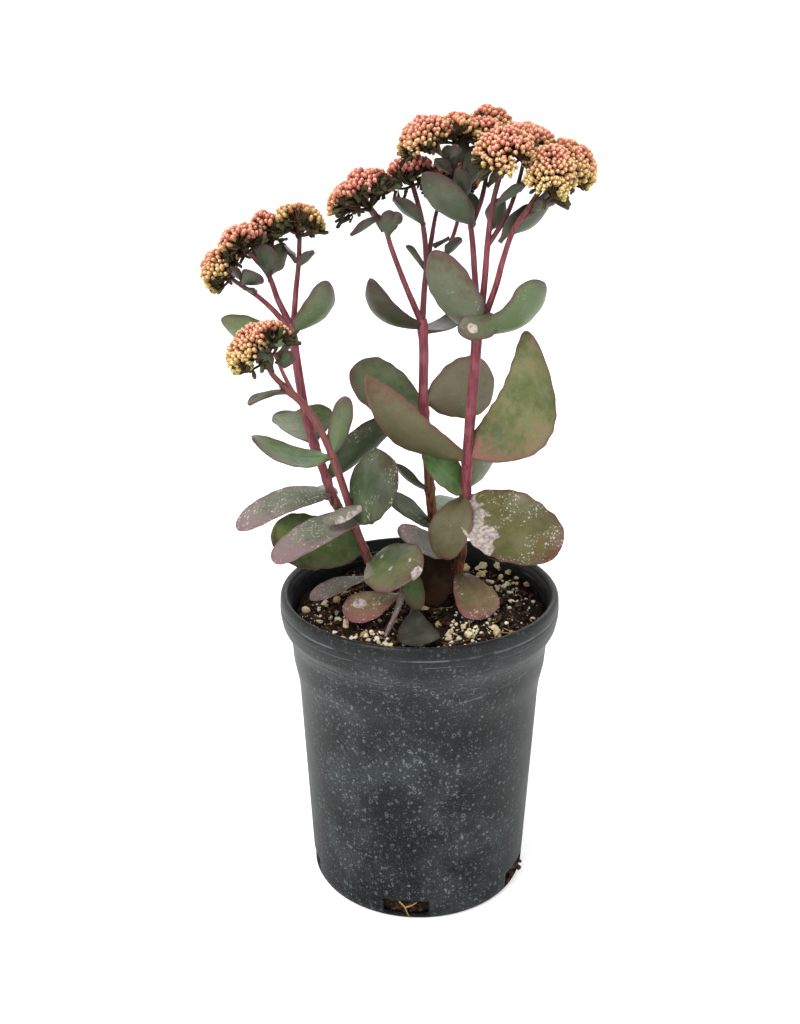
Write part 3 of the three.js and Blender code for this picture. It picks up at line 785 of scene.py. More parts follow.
@dataclass(frozen=True)
class LeafFinish:
    """Fleshy leaf: mottled green, another colour's flush, a dark red rim, bloom, pale specks."""

    name: str
    deep: str
    light: str
    flush: str
    under: str
    rim: str = "54383a"
    specks: float = 0.25
    bloom: float = 0.25
    roughness: float = 0.42
    gloss: float = 0.26
    film: str = "8f9686"
    grit: str = "26251c"
    speck: str = "bdbbae"
    crust: tuple[str, str, str] = ("857875", "b9aca4", "6a5a4a")
    sizes: tuple[tuple[float, float], ...] = ((300, 0.3), (560, 0.42), (1000, 0.5))

    @cache
    def build(self) -> Material:
        """Makes the material: the blade's colour, then the specks, then the crust over scabs.

        Returns:
            The material.
        """
        paint = Paint("leaf_" + self.name)
        fine, grain = paint.noise(260, 4), paint.noise(1500, 2)
        colour = paint.blend(self.specked(paint), self.blade(paint, fine, grain), self.speck)
        uneven = paint.fade(paint.noise(150, 5), 0.25, 0.75, -0.2, 0.2)
        scab = paint.fade(paint.plus(paint.mark("scab"), uneven), 0.4, 0.5)
        colour = paint.blend(scab, colour, self.crusted(paint))
        rough = paint.plus(paint.times(scab, 0.3), self.roughness)
        relief = paint.bump(paint.plus(fine, paint.times(scab, grain)), 0.3)
        return paint.finish(colour, rough, relief, Specular_IOR_Level=self.gloss)

    def blade(self, paint: Paint, fine: Socket, grain: Socket) -> Socket:
        """Mottled green, then the pale rib, the underside, the flush, the film and the rim.

        Args:
            paint: the tree.
            fine: noise of a few millimetres.
            grain: noise below a millimetre.

        Returns:
            The colour.
        """
        broad = paint.noise(48, 3)
        mottle = paint.times(paint.math("SUBTRACT", fine, 0.5), 0.6)
        share = paint.plus(broad, mottle)
        colour = paint.blend(paint.fade(share, 0.2, 0.8), self.deep, self.light)
        colour = paint.blend(paint.times(paint.mark("rib"), 0.6), colour, self.light)
        colour = paint.blend(paint.times(paint.mark("under"), 0.8), colour, self.under)
        uneven = paint.fade(fine, 0.25, 0.75, -0.2, 0.2)
        uneven = paint.plus(uneven, paint.fade(broad, 0.3, 0.7, -0.12, 0.12))
        flush = paint.plus(paint.mark("flush"), uneven)
        colour = paint.blend(paint.fade(flush, 0.1, 0.95), colour, self.flush)
        film = paint.times(paint.fade(paint.noise(80, 4), 0.4, 0.75), self.bloom)
        colour = paint.blend(film, colour, self.film)
        colour = paint.blend(paint.fade(grain, 0.35, 0.7, 0, 0.2), colour, self.grit)
        rim = paint.plus(paint.mark("edge"), paint.fade(fine, 0.3, 0.7, -0.08, 0.08))
        return paint.blend(paint.fade(rim, 0.0, 0.34, 0.75, 0), colour, self.rim)

    def specked(self, paint: Paint) -> Socket:
        """Pale specks of three sizes, thick in patches that grow with the leaf's share of them.

        Args:
            paint: the tree.

        Returns:
            Their strength.
        """
        marks = None
        for scale, most in self.sizes:
            distance, chance = paint.cells(scale, paint.strayed(900, 2.4))
            size = paint.times(paint.math("POWER", chance, 2.2), most)
            dot = paint.fade(paint.math("SUBTRACT", distance, size), -0.12, 0.03, 1, 0)
            marks = dot if marks is None else paint.math("MAXIMUM", marks, dot)
        edge = 0.62 - 0.24 * self.specks
        patchy = paint.fade(paint.noise(70, 4), edge, edge + 0.14)
        strength = min(0.8, self.specks * 1.2)
        return paint.times(paint.times(marks, patchy), strength)

    def crusted(self, paint: Paint) -> Socket:
        """Grey crust of the damaged places, with brown pits.

        Args:
            paint: the tree.

        Returns:
            The colour.
        """
        dull, pale, brown = self.crust
        crust = paint.blend(paint.fade(paint.noise(420, 5), 0.35, 0.65), dull, pale)
        return paint.blend(paint.fade(paint.noise(700, 3), 0.56, 0.68, 0, 0.5), crust, brown)


class Look(Enum):
    """The leaf colours that the plant shows."""

    GLAUCOUS = LeafFinish("glaucous", "414b2f", "616a48", "50402f", "5d624f", bloom=0.12)
    SAGE = LeafFinish("sage", "3f482d", "586242", "56523f", "5c6d4b", bloom=0.1)
    OLIVE = LeafFinish("olive", "4e5630", "6f764b", "875450", "62624a", "5a3f36", 0.1, 0.1)
    RUSSET = LeafFinish("russet", "54522f", "706c4a", "5f4030", "625e44", "63453a", 0.1, 0.1)
    GREEN = LeafFinish("green", "38532a", "5a7a41", "57532e", "616f4c", "4e342b", 0.25, 0.1, 0.38, 0.3)
    MOSS = LeafFinish("moss", "3a4727", "5e6e3c", "6f4c4e", "5f6648", "4e342b", 0.3, 0.08, 0.38, 0.3)
    SHADE = LeafFinish("shade", "333f2a", "4d5d40", "43352c", "4a5340", "452f31", 0.15, 0.14)
    SLATE = LeafFinish("slate", "2a2c1e", "3d402e", "3a2b22", "373927", "382624", 0.1, 0.1)
    DARK = LeafFinish("dark", "27331c", "3d4e2b", "3c2c1f", "444f38", "33251c", 0.5, 0.15)
    MAUVE = LeafFinish("mauve", "565c48", "797c6c", "80696a", "66625a", "6e5154", 0.85, 0.2)
    TAUPE = LeafFinish("taupe", "545036", "6c6648", "5d4235", "645e4a", "634338", 0.2, 0.12)
    SPOTTED = LeafFinish("spotted", "494826", "67623a", "543526", "5f5a44", "5a382d", 0.8, 0.12)
    ROSE = LeafFinish("rose", "635439", "80704f", "875451", "726554", "6d4644", 0.7, 0.15)
    UMBER = LeafFinish("umber", "1c120a", "33220f", "3c2416", "24190f", "2e1c10", 0.1, 0.03, 0.6, 0.06)


# The plant's tables


@dataclass(frozen=True)
class Leaf:
    """A leaf on a stem: where its foot and tip are, how it bends, and how it is coloured.

    stalk is the half width at the foot as a share of the widest, and neck narrows the first few
    millimetres further. A greater swell keeps the foot slim for longer, a greater point makes the
    tip sharper. flush is its amount at the foot, at the tip, across the blade and along the rim. A
    scab is a place along the leaf, one across it, and a radius. on and at are its stem and the
    height of its foot, unless the foot is given apart.
    """

    on: str
    at: float
    tip: Point
    width: float
    look: Look
    face: Point = (0, 0, 1)
    bow: float = 0
    sweep: float = 0
    cup: float = 0.15
    widest: float = 0.56
    stalk: float = 0.3
    point: float = 0.5
    swell: float = 1.15
    neck: float = 0.5
    wave: float = 0.5
    flush: tuple[float, float, float, float] = (0.0, 0.35, 0.0, 0.4)
    scabs: tuple[Point, ...] = ()


@dataclass(frozen=True)
class Branch:
    """A round stalk that tapers from one radius to another along its path.

    head is the flower head that it bears, and shade the least painted shade that darkens it.
    """

    start: float
    end: float
    path: tuple[Point, ...]
    head: str = ""
    shade: float = 0.0


@dataclass(frozen=True)
class Axis:
    """A stem's main stalk with its branches.

    woody is the height below which it is corky, warm its share of a sunned brown, and slimness
    the main stalk's radius as a share of the table's. dusk says how much painted shade darkens it
    under the flowers: the most, the heights between which it comes on, and what every branch has more.
    """

    main: Branch
    branches: tuple[Branch, ...]
    woody: float
    warm: float = 0.0
    slimness: float = 1.0
    painted_shade: tuple[float, float, float, float] = (0.75, 385, 425, 0.15)

    def at(self, height: float) -> Array:
        """Point on the main stalk at a height, on the straight lines between its given points.

        Args:
            height: above the pot's underside.

        Returns:
            The point.
        """
        path = np.array(self.main.path, float)
        k = min(int(np.searchsorted(path[:, 2], height)), len(path) - 1)
        a, b = path[k - 1], path[k]
        return a + (b - a) * (height - a[2]) / (b[2] - a[2])


STEMS: dict[str, Axis] = {
    "stem_front_left": Axis(
        Branch(3.0, 2.3, (
            (-21, 8, 150), (-22, 8, 177), (-31, 0, 208), (-36, -4, 224), (-43, -10, 252),
            (-50, -14, 276), (-56, -17, 291), (-64, -20, 305), (-75, -24, 317),
        )),
        (
            Branch(1.9, 1.6, ((-73, -23, 315), (-80, -26, 324)), "head_front_low"),
            Branch(1.6, 1.2, ((-68, -21, 309), (-73, -26, 322), (-78, -29, 336))),
        ),
        woody=190, warm=0.8, slimness=0.85,
    ),
    "stem_back_left": Axis(
        Branch(3.0, 2.5, (
            (-21, 22, 150), (-22, 22, 175), (-42, 18, 220), (-51, 16, 238), (-55, 15, 252),
            (-61, 14, 271), (-66, 13, 293), (-71, 12, 332), (-72, 12, 343),
        )),
        (
            Branch(
                2.0, 1.5, ((-72, 12, 338), (-81, 10, 350), (-90, 8, 359), (-101, 6, 367)),
                "head_left_low"),
            Branch(2.2, 1.6, ((-72, 12, 341), (-79, 12, 356), (-84, 12, 370)), "head_left_middle"),
            Branch(1.5, 1.2, ((-83, 12, 366), (-84, 18, 379)), "head_left_inner"),
            Branch(2.0, 1.6, ((-71, 12, 341), (-69, 13, 361), (-67, 12, 376)), "head_left_top"),
        ),
        woody=240, painted_shade=(0.6, 350, 385, 0.0),
    ),
    "stem_middle": Axis(
        Branch(3.2, 2.7, (
            (13, 30, 150), (13, 30, 176), (9, 26, 214), (6, 22, 244), (4, 22, 272), (2, 20, 297),
            (2, 18, 326), (1, 18, 344),
        )),
        (
            Branch(
                2.1, 1.6, ((1, 18, 341), (-9, 14, 365), (-16, 10, 384), (-20, 8, 396)),
                "head_middle_left"),
            Branch(
                2.1, 1.7, ((1, 18, 342), (2, 18, 360), (3, 18, 374), (1, 18, 396)), "head_middle_top",
                0.6),
            Branch(1.7, 1.3, ((3, 18, 370), (6, 24, 388), (9, 32, 402)), "head_middle_back", 0.6),
            Branch(1.7, 1.3, ((3, 19, 366), (13, 25, 378), (20, 32, 394), (23, 38, 412))),
        ),
        woody=262,
    ),
    "stem_right": Axis(
        Branch(3.3, 3.0, (
            (22, 22, 150), (22, 22, 176), (25, 18, 201), (26, 14, 225), (27, 10, 251), (28, 6, 283),
            (30, 2, 319), (31, 0, 346),
        )),
        (
            Branch(
                2.2, 1.7, ((31, 0, 343), (29, 6, 373), (27, 10, 394), (23, 11, 412), (15, 8, 430)),
                "head_right_left"),
            Branch(1.7, 1.4, ((27, 11, 396), (33, 20, 410), (37, 31, 430)), "head_right_back"),
            Branch(
                2.3, 1.7, ((32, 0, 343), (34, -4, 370), (35, -6, 391), (37, -11, 412)),
                "head_right_front"),
            Branch(1.6, 1.3, ((35, -6, 388), (45, -3, 404), (51, 2, 420)), "head_right_middle"),
            Branch(
                2.2, 1.7, ((33, 0, 344), (40, -6, 367), (43, -9, 381), (48, -14, 398), (56, -18, 411)),
                "head_right_low"),
            Branch(1.6, 1.3, ((50, -15, 402), (61, -13, 409), (71, -7, 417)), "head_right_end"),
        ),
        woody=226,
    ),
    "shoot_low_front": Axis(
        Branch(2.6, 1.9, ((-4, 2, 155), (-4, 2, 178), (-7, -2, 198), (-9, -5, 208))), (), woody=200,
    ),
}

LEAVES: dict[str, Leaf] = {
    "leaf_right_top_front": Leaf(
        "stem_right", 342, (6, -8, 386), 28, Look.GLAUCOUS, (0.5, 1, 0.3), -5, cup=0.25, widest=0.45,
        stalk=0.55, point=0.6, neck=0.7, flush=(0, 0.5, 0.2, 0.3)),
    "leaf_right_top_right": Leaf(
        "stem_right", 341, (65, -10, 370), 32, Look.SAGE, (-0.5, 0.8, 0.8), -9, 3, cup=0.3, widest=0.7,
        stalk=0.6, flush=(0, 0.1, 0, 0.4), neck=0.9),
    "leaf_middle_top_left": Leaf(
        "stem_middle", 340, (-28, 6, 369), 22, Look.SLATE, (0.6, 0.8, 0.6), -8, -6, cup=0.3, point=0.75,
        stalk=0.5, flush=(0.2, 0.6, 0, 0.6)),
    "leaf_middle_top_right": Leaf("stem_middle", 337, (24, 34, 345), 20, Look.SLATE, bow=-3),
    "leaf_back_left_top_right": Leaf(
        "stem_back_left", 339, (-51, 4, 368), 22, Look.SAGE, (-0.6, 0.8, 0.5), -5, 4, cup=0.3,
        point=0.66, stalk=0.45, flush=(0, 0.6, 0.1, 0.4)),
    "leaf_back_left_top_left": Leaf(
        "stem_back_left", 333, (-112, 18, 344), 22, Look.GREEN, (0.2, 0.9, 0.5), -5, point=0.7),
    "leaf_front_left_narrow": Leaf(
        "stem_front_left", 313, (-92, -36, 309), 12, Look.GLAUCOUS, (0.2, 0.2, 1), 2, point=0.6),
    "leaf_right_big": Leaf(
        "stem_right", 267, (59.5, -6, 341.5), 41, Look.OLIVE, (-0.4, -0.7, 0.5), -5, -19.5, widest=0.42,
        stalk=0.42, point=0.5, neck=0.6, wave=1.2, flush=(0.75, 0.3, -0.05, 0.15)),
    "leaf_right_long": Leaf(
        "stem_right", 264, (-30, -16, 321), 26, Look.RUSSET, (0.3, 1, 0.2), -4, -8, widest=0.46,
        point=0.8, wave=1.2, flush=(0.2, 0.5, 0, 0.5)),
    "leaf_right_low_back": Leaf(
        "stem_right", 243, (1, 3, 271), 29, Look.GREEN, (0.4, -0.6, 0.9), cup=0.25, stalk=0.4,
        flush=(-0.2, 0.0, 0, 0.1)),
    "leaf_right_low_side": Leaf("stem_right", 245, (47, 22, 270), 25, Look.GLAUCOUS, (-0.5, 0.8, 0.6)),
    "leaf_right_spotted": Leaf(
        "stem_right", 237, (76, -34, 222), 45, Look.SPOTTED, (0.1, -0.8, 0.7), 4, sweep=-2, stalk=0.45,
        neck=0.6, wave=1.6, widest=0.56, flush=(0.1, 0.3, 0, 0.6),
        scabs=((0.1, -0.5, 11), (0.24, -0.7, 14), (0.4, -0.95, 13), (0.04, 0, 4))),
    "leaf_right_drooping": Leaf(
        "stem_right", 242, (15, -14, 211), 27, Look.TAUPE, (-0.55, -0.8, 0.4), 4, stalk=0.25,
        flush=(0.6, 0.1, 0, 0.3)),
    "leaf_middle_round": Leaf(
        "stem_middle", 289, (-40, 16, 315), 36, Look.GLAUCOUS, (0.4, -0.8, 0.8), -4, cup=0.3,
        flush=(0.1, 0.2, 0.4, 0.6)),
    "leaf_middle_grey": Leaf(
        "stem_middle", 296, (44, 38, 305), 37, Look.TAUPE, (-0.2, 0.9, 0), -3, widest=0.62, wave=1.5,
        point=0.5, flush=(0, 0.1, 0, 0.3), stalk=0.3),
    "leaf_middle_edge": Leaf("stem_middle", 242, (-13, 8, 262), 19, Look.DARK, (0.5, 0.4, 1), -3),
    "leaf_middle_dark": Leaf("stem_middle", 216, (-20, 10, 242), 18, Look.DARK, (0.6, -0.4, 0.8)),
    "leaf_front_left_upper": Leaf(
        "stem_front_left", 273, (-92, -28, 289), 25, Look.GREEN, (0.3, -0.2, 1), -7, point=0.65,
        stalk=0.4, flush=(-0.2, 0.8, 0.3, 0.4)),
    "leaf_front_left_upright": Leaf(
        "stem_front_left", 274, (-41, -10, 307), 13, Look.SAGE, (-0.2, 0.9, 0.2), -2, stalk=0.5,
        flush=(0, 0.7, 0, 0.3)),
    "leaf_back_left_round": Leaf(
        "stem_back_left", 272, (-75, 48, 282), 36, Look.MOSS, (0.1, -0.5, 0.9), cup=0.35,
        flush=(-0.2, 0.1, 0, 0.3)),
    "leaf_back_left_dark": Leaf(
        "stem_back_left", 250, (-16, 22, 286), 26, Look.DARK, (-0.4, 0.8, 0.5), point=0.6),
    "leaf_back_left_low": Leaf(
        "stem_back_left", 241, (-107, 2, 224), 25, Look.MAUVE, (0, -0.3, 1), 6, cup=0.08, stalk=0.45,
        flush=(-0.1, 0.9, 0, 0.3)),
    "leaf_front_left_spotted": Leaf(
        "stem_front_left", 235, (-14, -30, 276), 39, Look.DARK, (-0.42, -0.75, 0.6), 2, -2, wave=1.4,
        widest=0.62, point=0.6, flush=(0, 0.6, -0.1, 0.3)),
    "leaf_front_left_long": Leaf(
        "stem_front_left", 234, (-81, -42, 221), 23, Look.MAUVE, (0, -0.3, 1), 4, cup=0.08, stalk=0.8,
        neck=1.0, flush=(0.1, 1.0, 0.2, 0.4)),
    "leaf_front_left_green": Leaf(
        "stem_front_left", 212, (-86, -10, 224), 39, Look.MOSS, (0.2, -0.6, 0.9), -2, wave=1.0,
        flush=(-0.4, 0.0, 0.5, 0.0)),
    "leaf_front_round": Leaf(
        "stem_front_left", 204, (-1, -40, 212), 35, Look.MOSS, (-0.1, -0.8, 0.8), 2, cup=0.1, wave=1.8,
        flush=(0.3, 0.5, -0.1, 0.4),
        scabs=((0.55, -0.1, 1.6), (0.25, 0.3, 1.3), (0.75, 0.4, 1.2), (0.97, 0.2, 5))),
    "leaf_right_purple": Leaf(
        "stem_right", 202, (-13, -6, 225), 22, Look.MAUVE, (0.3, -0.5, 1), -2,
        flush=(-0.3, 0.9, 0, 0.3)),
    "leaf_soil_dark": Leaf("stem_middle", 206, (7, -4, 176), 23, Look.UMBER, (0, -0.9, 0.4), 3),
    "leaf_soil_fan": Leaf(
        "stem_right", 188, (38, -19, 176), 25, Look.ROSE, (0, -0.6, 0.8), 4, widest=0.78, swell=1.6,
        flush=(0.1, 0.4, -0.2, 0.3)),
    "leaf_soil_pink": Leaf(
        "shoot_low_front", 182, (-43, -24, 179), 22, Look.ROSE, (-0.2, -0.6, 0.9), 4, widest=0.74,
        stalk=0.16, swell=3.2, flush=(0.2, 0.6, 0.3, 0.3), scabs=((0.75, -0.3, 4),)),
    "leaf_soil_yellow": Leaf(
        "shoot_low_front", 205, (-1, -23, 183), 13, Look.GREEN, (0, -0.9, 0.5), 3,
        flush=(0.3, 0.7, 0, 0.5)),
    "leaf_soil_thin": Leaf(
        "shoot_low_front", 199, (-20, -45, 177), 9, Look.MAUVE, (-0.9, -0.2, 0.5), -2, widest=0.4,
        point=0.8, flush=(0.6, 0.9, 0, 0.4)),
    "leaf_soil_front": Leaf(
        "shoot_low_front", 177, (0, -54, 175.5), 24, Look.SLATE, cup=0.06, widest=0.78, stalk=0.14,
        swell=3.0, wave=1.4, flush=(0.1, 0.3, 0, 0.4)),
    "leaf_behind_right": Leaf("stem_right", 221, (62, 56, 212), 28, Look.GLAUCOUS, (0, -0.5, 0.9), 3),
    "leaf_behind_middle": Leaf("stem_middle", 216, (30, 66, 218), 27, Look.GREEN, bow=5),
    "leaf_behind_left": Leaf("stem_back_left", 236, (-76, 52, 226), 26, Look.MAUVE, bow=4),
    "leaf_soil_left": Leaf(
        "stem_front_left", 192, (-64, -12, 185), 14, Look.MAUVE, (0, -0.3, 1), 3, widest=0.72,
        swell=2.0, flush=(-0.1, 1.0, 0, 0.3)),
}


@dataclass(frozen=True)
class Bract:
    """A small leaf just below the flowers, from its foot to its tip."""

    foot: Point
    tip: Point
    width: float
    face: Point
    bow: float = 0


LOBES: dict[str, tuple[Point, Leaf]] = {
    "leaf_right_top_right": (
        (44.5, -6, 347.5),
        Leaf(
            "stem_right", 0, (19.5, -9, 343.8), 15.5, Look.SAGE, (0.05, -1, 0.25), 1, cup=-0.25,
            widest=0.5, stalk=0.5, neck=0.8, flush=(0.5, 0.5, 0, 0.5), scabs=((0.68, 0.15, 3.2),)),
    ),
    "leaf_front_left_long": (
        (-29, -13, 244.3),
        Leaf(
            "stem_front_left", 0, (-54, -26, 238.5), 9, Look.MAUVE, (0, -0.6, 0.8), 1, cup=-0.1,
            widest=0.6, stalk=0.2, flush=(0.1, 0.2, 0, 0.2),
            scabs=((0.2, 0.7, 3.5), (0.45, 0.75, 3.5), (0.7, 0.8, 3.0))),
    ),
}

BRACTS: tuple[tuple[str, tuple[Bract, ...]], ...] = (
    ("stem_back_left", (
        Bract((-99, 6, 366), (-86, -1, 371), 14, (0, 0.8, 0.6)),
        Bract((-84, 12, 370), (-86, 3, 388), 15, (0.2, 1, 0.3)),
        Bract((-83, 12, 369), (-75, 20, 386), 12, (-0.3, 1, 0.3)),
    )),
    ("stem_right", (
        Bract((28.5, 9, 397), (0.5, -4, 425.5), 21, (0.35, 1, 0.5), -3),
        Bract((25, 10, 411), (11, -1, 415), 9, (0.1, 0.9, 0.7), -2),
        Bract((21, 12, 424), (32, 18, 437), 11, (0, 1, 0.3)),
        Bract((19, 10, 426), (12, 4, 438), 9, (0, 1, 0.3)),
        Bract((29, 15, 420), (40, 20, 432), 10, (-0.2, 1, 0.3)),
        Bract((17, 9, 428), (24, 20, 441), 10, (0.1, 1, 0.1)),
        Bract((46, -11, 395), (71, 4, 417), 18, (-0.4, 0.7, 0.6), -4),
        Bract((36, -6, 396), (44, 6, 411), 13, (0, 1, 0.4)),
    )),
    ("stem_middle", (
        Bract((2, 18, 396), (-15, 6, 412), 11, (0.4, 0.8, 0.5)),
        Bract((-18, 9, 390), (-17, -2, 406), 10, (0, 1, 0.3)),
        Bract((-22, 7, 402), (-38, -3, 393), 8, (0.3, 0.6, 0.6)),
        Bract((13, 25, 378), (22, 18, 389), 9, (-0.3, 0.7, 0.6)),
        Bract((7, 22, 384), (16, 31, 387), 7, (-0.2, 0.4, 1)),
        Bract((-19, 7, 396), (-11, -2, 404), 8, (0.2, 1, 0.3)),
        Bract((-20, 8, 394), (-28, 15, 404), 8, (0, 0.5, 1)),
        Bract((3, 18, 372), (-8, 25, 384), 9, (0.3, 0.5, 0.8)),
    )),
    ("stem_right", (
        Bract((15, 7, 432), (18, -12, 439), 7, (0.3, 1, 0.5)),
        Bract((24, 10, 410), (19, -5, 428), 9, (0.2, 1, 0.3)),
        Bract((16, 7, 424), (7, -1, 432), 8, (0.4, 1, 0.2)),
        Bract((25, 14, 416), (28, 7, 430), 9, (0, 1, 0.2)),
        Bract((38, -13, 410), (53, -17, 421), 9, (-0.2, 0.6, 0.9)),
        Bract((41, -7, 390), (57, -3, 409), 11, (-0.5, 0.7, 0.4)),
        Bract((67, -9, 413), (76, -15, 408), 6, (0.2, -0.3, 1)),
        Bract((36, 24, 416), (50, 14, 430), 10, (-0.3, 0.6, 0.6)),
        Bract((29, 13, 402), (25, 27, 413), 9, (0.2, -0.6, 0.8)),
        Bract((51, 1, 416), (62, 12, 426), 9, (-0.4, 0.2, 0.9)),
        Bract((56, -17, 408), (66, -30, 413), 9, (0.1, 0.5, 1)),
    )),
    ("stem_back_left", (
        Bract((-98, 6, 368), (-102, -6, 377), 6, (-0.2, 0.6, 0.8)),
        Bract((-90, 8, 361), (-96, -2, 365), 6, (0, 0.2, 1)),
        Bract((-68, 12, 374), (-58, 4, 384), 7, (-0.2, 0.7, 0.7)),
        Bract((-68, 12, 377), (-76, 20, 385), 7, (0.2, 0.2, 1)),
    )),
    ("stem_front_left", (
        Bract((-79, -26, 325), (-86, -34, 338), 9, (0.2, -0.9, 0.3)),
        Bract((-77, -28, 330), (-66, -36, 335), 10, (0, -0.9, 0.5)),
        Bract((-78, -28, 333), (-66, -22, 341), 9, (-0.2, 0.4, 0.9)),
    )),
)


@dataclass(frozen=True)
class HeadShape:
    """A dome of buds: its rim's centre, the way it looks, its half widths and its rise.

    ripe goes from 0, pink, to 1, yellow-green. skirt is the share of the rim's buds that hang
    lower. notch is a place in the rim without buds: its direction, its half angle and its depth as
    a share of the radius.
    """

    centre: Point
    lean: Point
    across: float
    deep: float
    rise: float
    ripe: float = 0.5
    skirt: float = 0.0
    notch: Point = (0, 0, 0)


HEADS: dict[str, HeadShape] = {
    "head_left_low": HeadShape((-111, 8, 374), (-0.85, 0.05, 0.5), 11.5, 17, 6, 0.4, 0.2),
    "head_left_middle": HeadShape((-98, 7, 390), (-0.42, 0.25, 0.9), 11.5, 16, 6, 0.05),
    "head_left_inner": HeadShape((-84, 17, 394.5), (-0.25, 0.3, 0.92), 9.5, 15, 6, 0.1),
    "head_left_top": HeadShape((-65, 10, 399.8), (0.12, 0.32, 0.93), 12.5, 15, 6.5, 0.55, 0, (
        -1.75, 0.45, 0.6,
    )),
    "head_front_low": HeadShape((-87, -27, 340), (-0.55, -0.28, 0.8), 18.5, 14, 8, 0.35, 0.5, (
        -0.6, 0.65, 0.6,
    )),
    "head_middle_left": HeadShape((-33, 11, 414), (-0.52, 0.32, 0.85), 18, 18, 7.5, -0.05),
    "head_middle_top": HeadShape((-7, 21, 424.4), (-0.3, 0.35, 0.9), 13, 12, 4.5, -0.15),
    "head_middle_back": HeadShape((16, 47, 419), (0.1, 0.3, 0.9), 15, 15, 6, -0.1),
    "head_right_left": HeadShape((0, 9, 443), (-0.4, 0.0, 0.92), 14, 16.5, 8, 0.15, 0.25, (
        -2.4, 0.3, 0.35,
    )),
    "head_right_crown": HeadShape((19, 17, 446.3), (0, 0.15, 0.98), 10.5, 15, 6, 0.3, 0, (
        -2.0, 0.4, 0.4,
    )),
    "head_right_shoulder": HeadShape((35, 21, 444.4), (0.1, 0.12, 1), 9, 14, 6, 0.1),
    "head_right_back": HeadShape((38.5, 42, 449), (0.1, 0.3, 0.93), 11, 13, 5.5, 0.2),
    "head_right_front": HeadShape((41, -21, 437.5), (-0.2, -0.42, 0.9), 14.5, 14.5, 9, 0.15, 0.4, (
        -0.9, 0.3, 0.3,
    )),
    "head_right_middle": HeadShape((57, 14, 440), (0.35, 0.08, 0.92), 16, 18, 7.5, 0.15),
    "head_right_low": HeadShape((64.5, -25, 428), (0.15, -0.68, 0.72), 11.5, 16, 8, 0.35, 1.0, (
        -1.9, 0.35, 0.35,
    )),
    "head_right_end": HeadShape((80, 3, 430), (0.65, -0.12, 0.72), 13.5, 16, 7, 0.35, 0.4),
}

SLOT_OF: dict[str, str] = {
    part["node"]: part["material_slot"] for part in frame["record"]["subparts"]
}


# Pieces


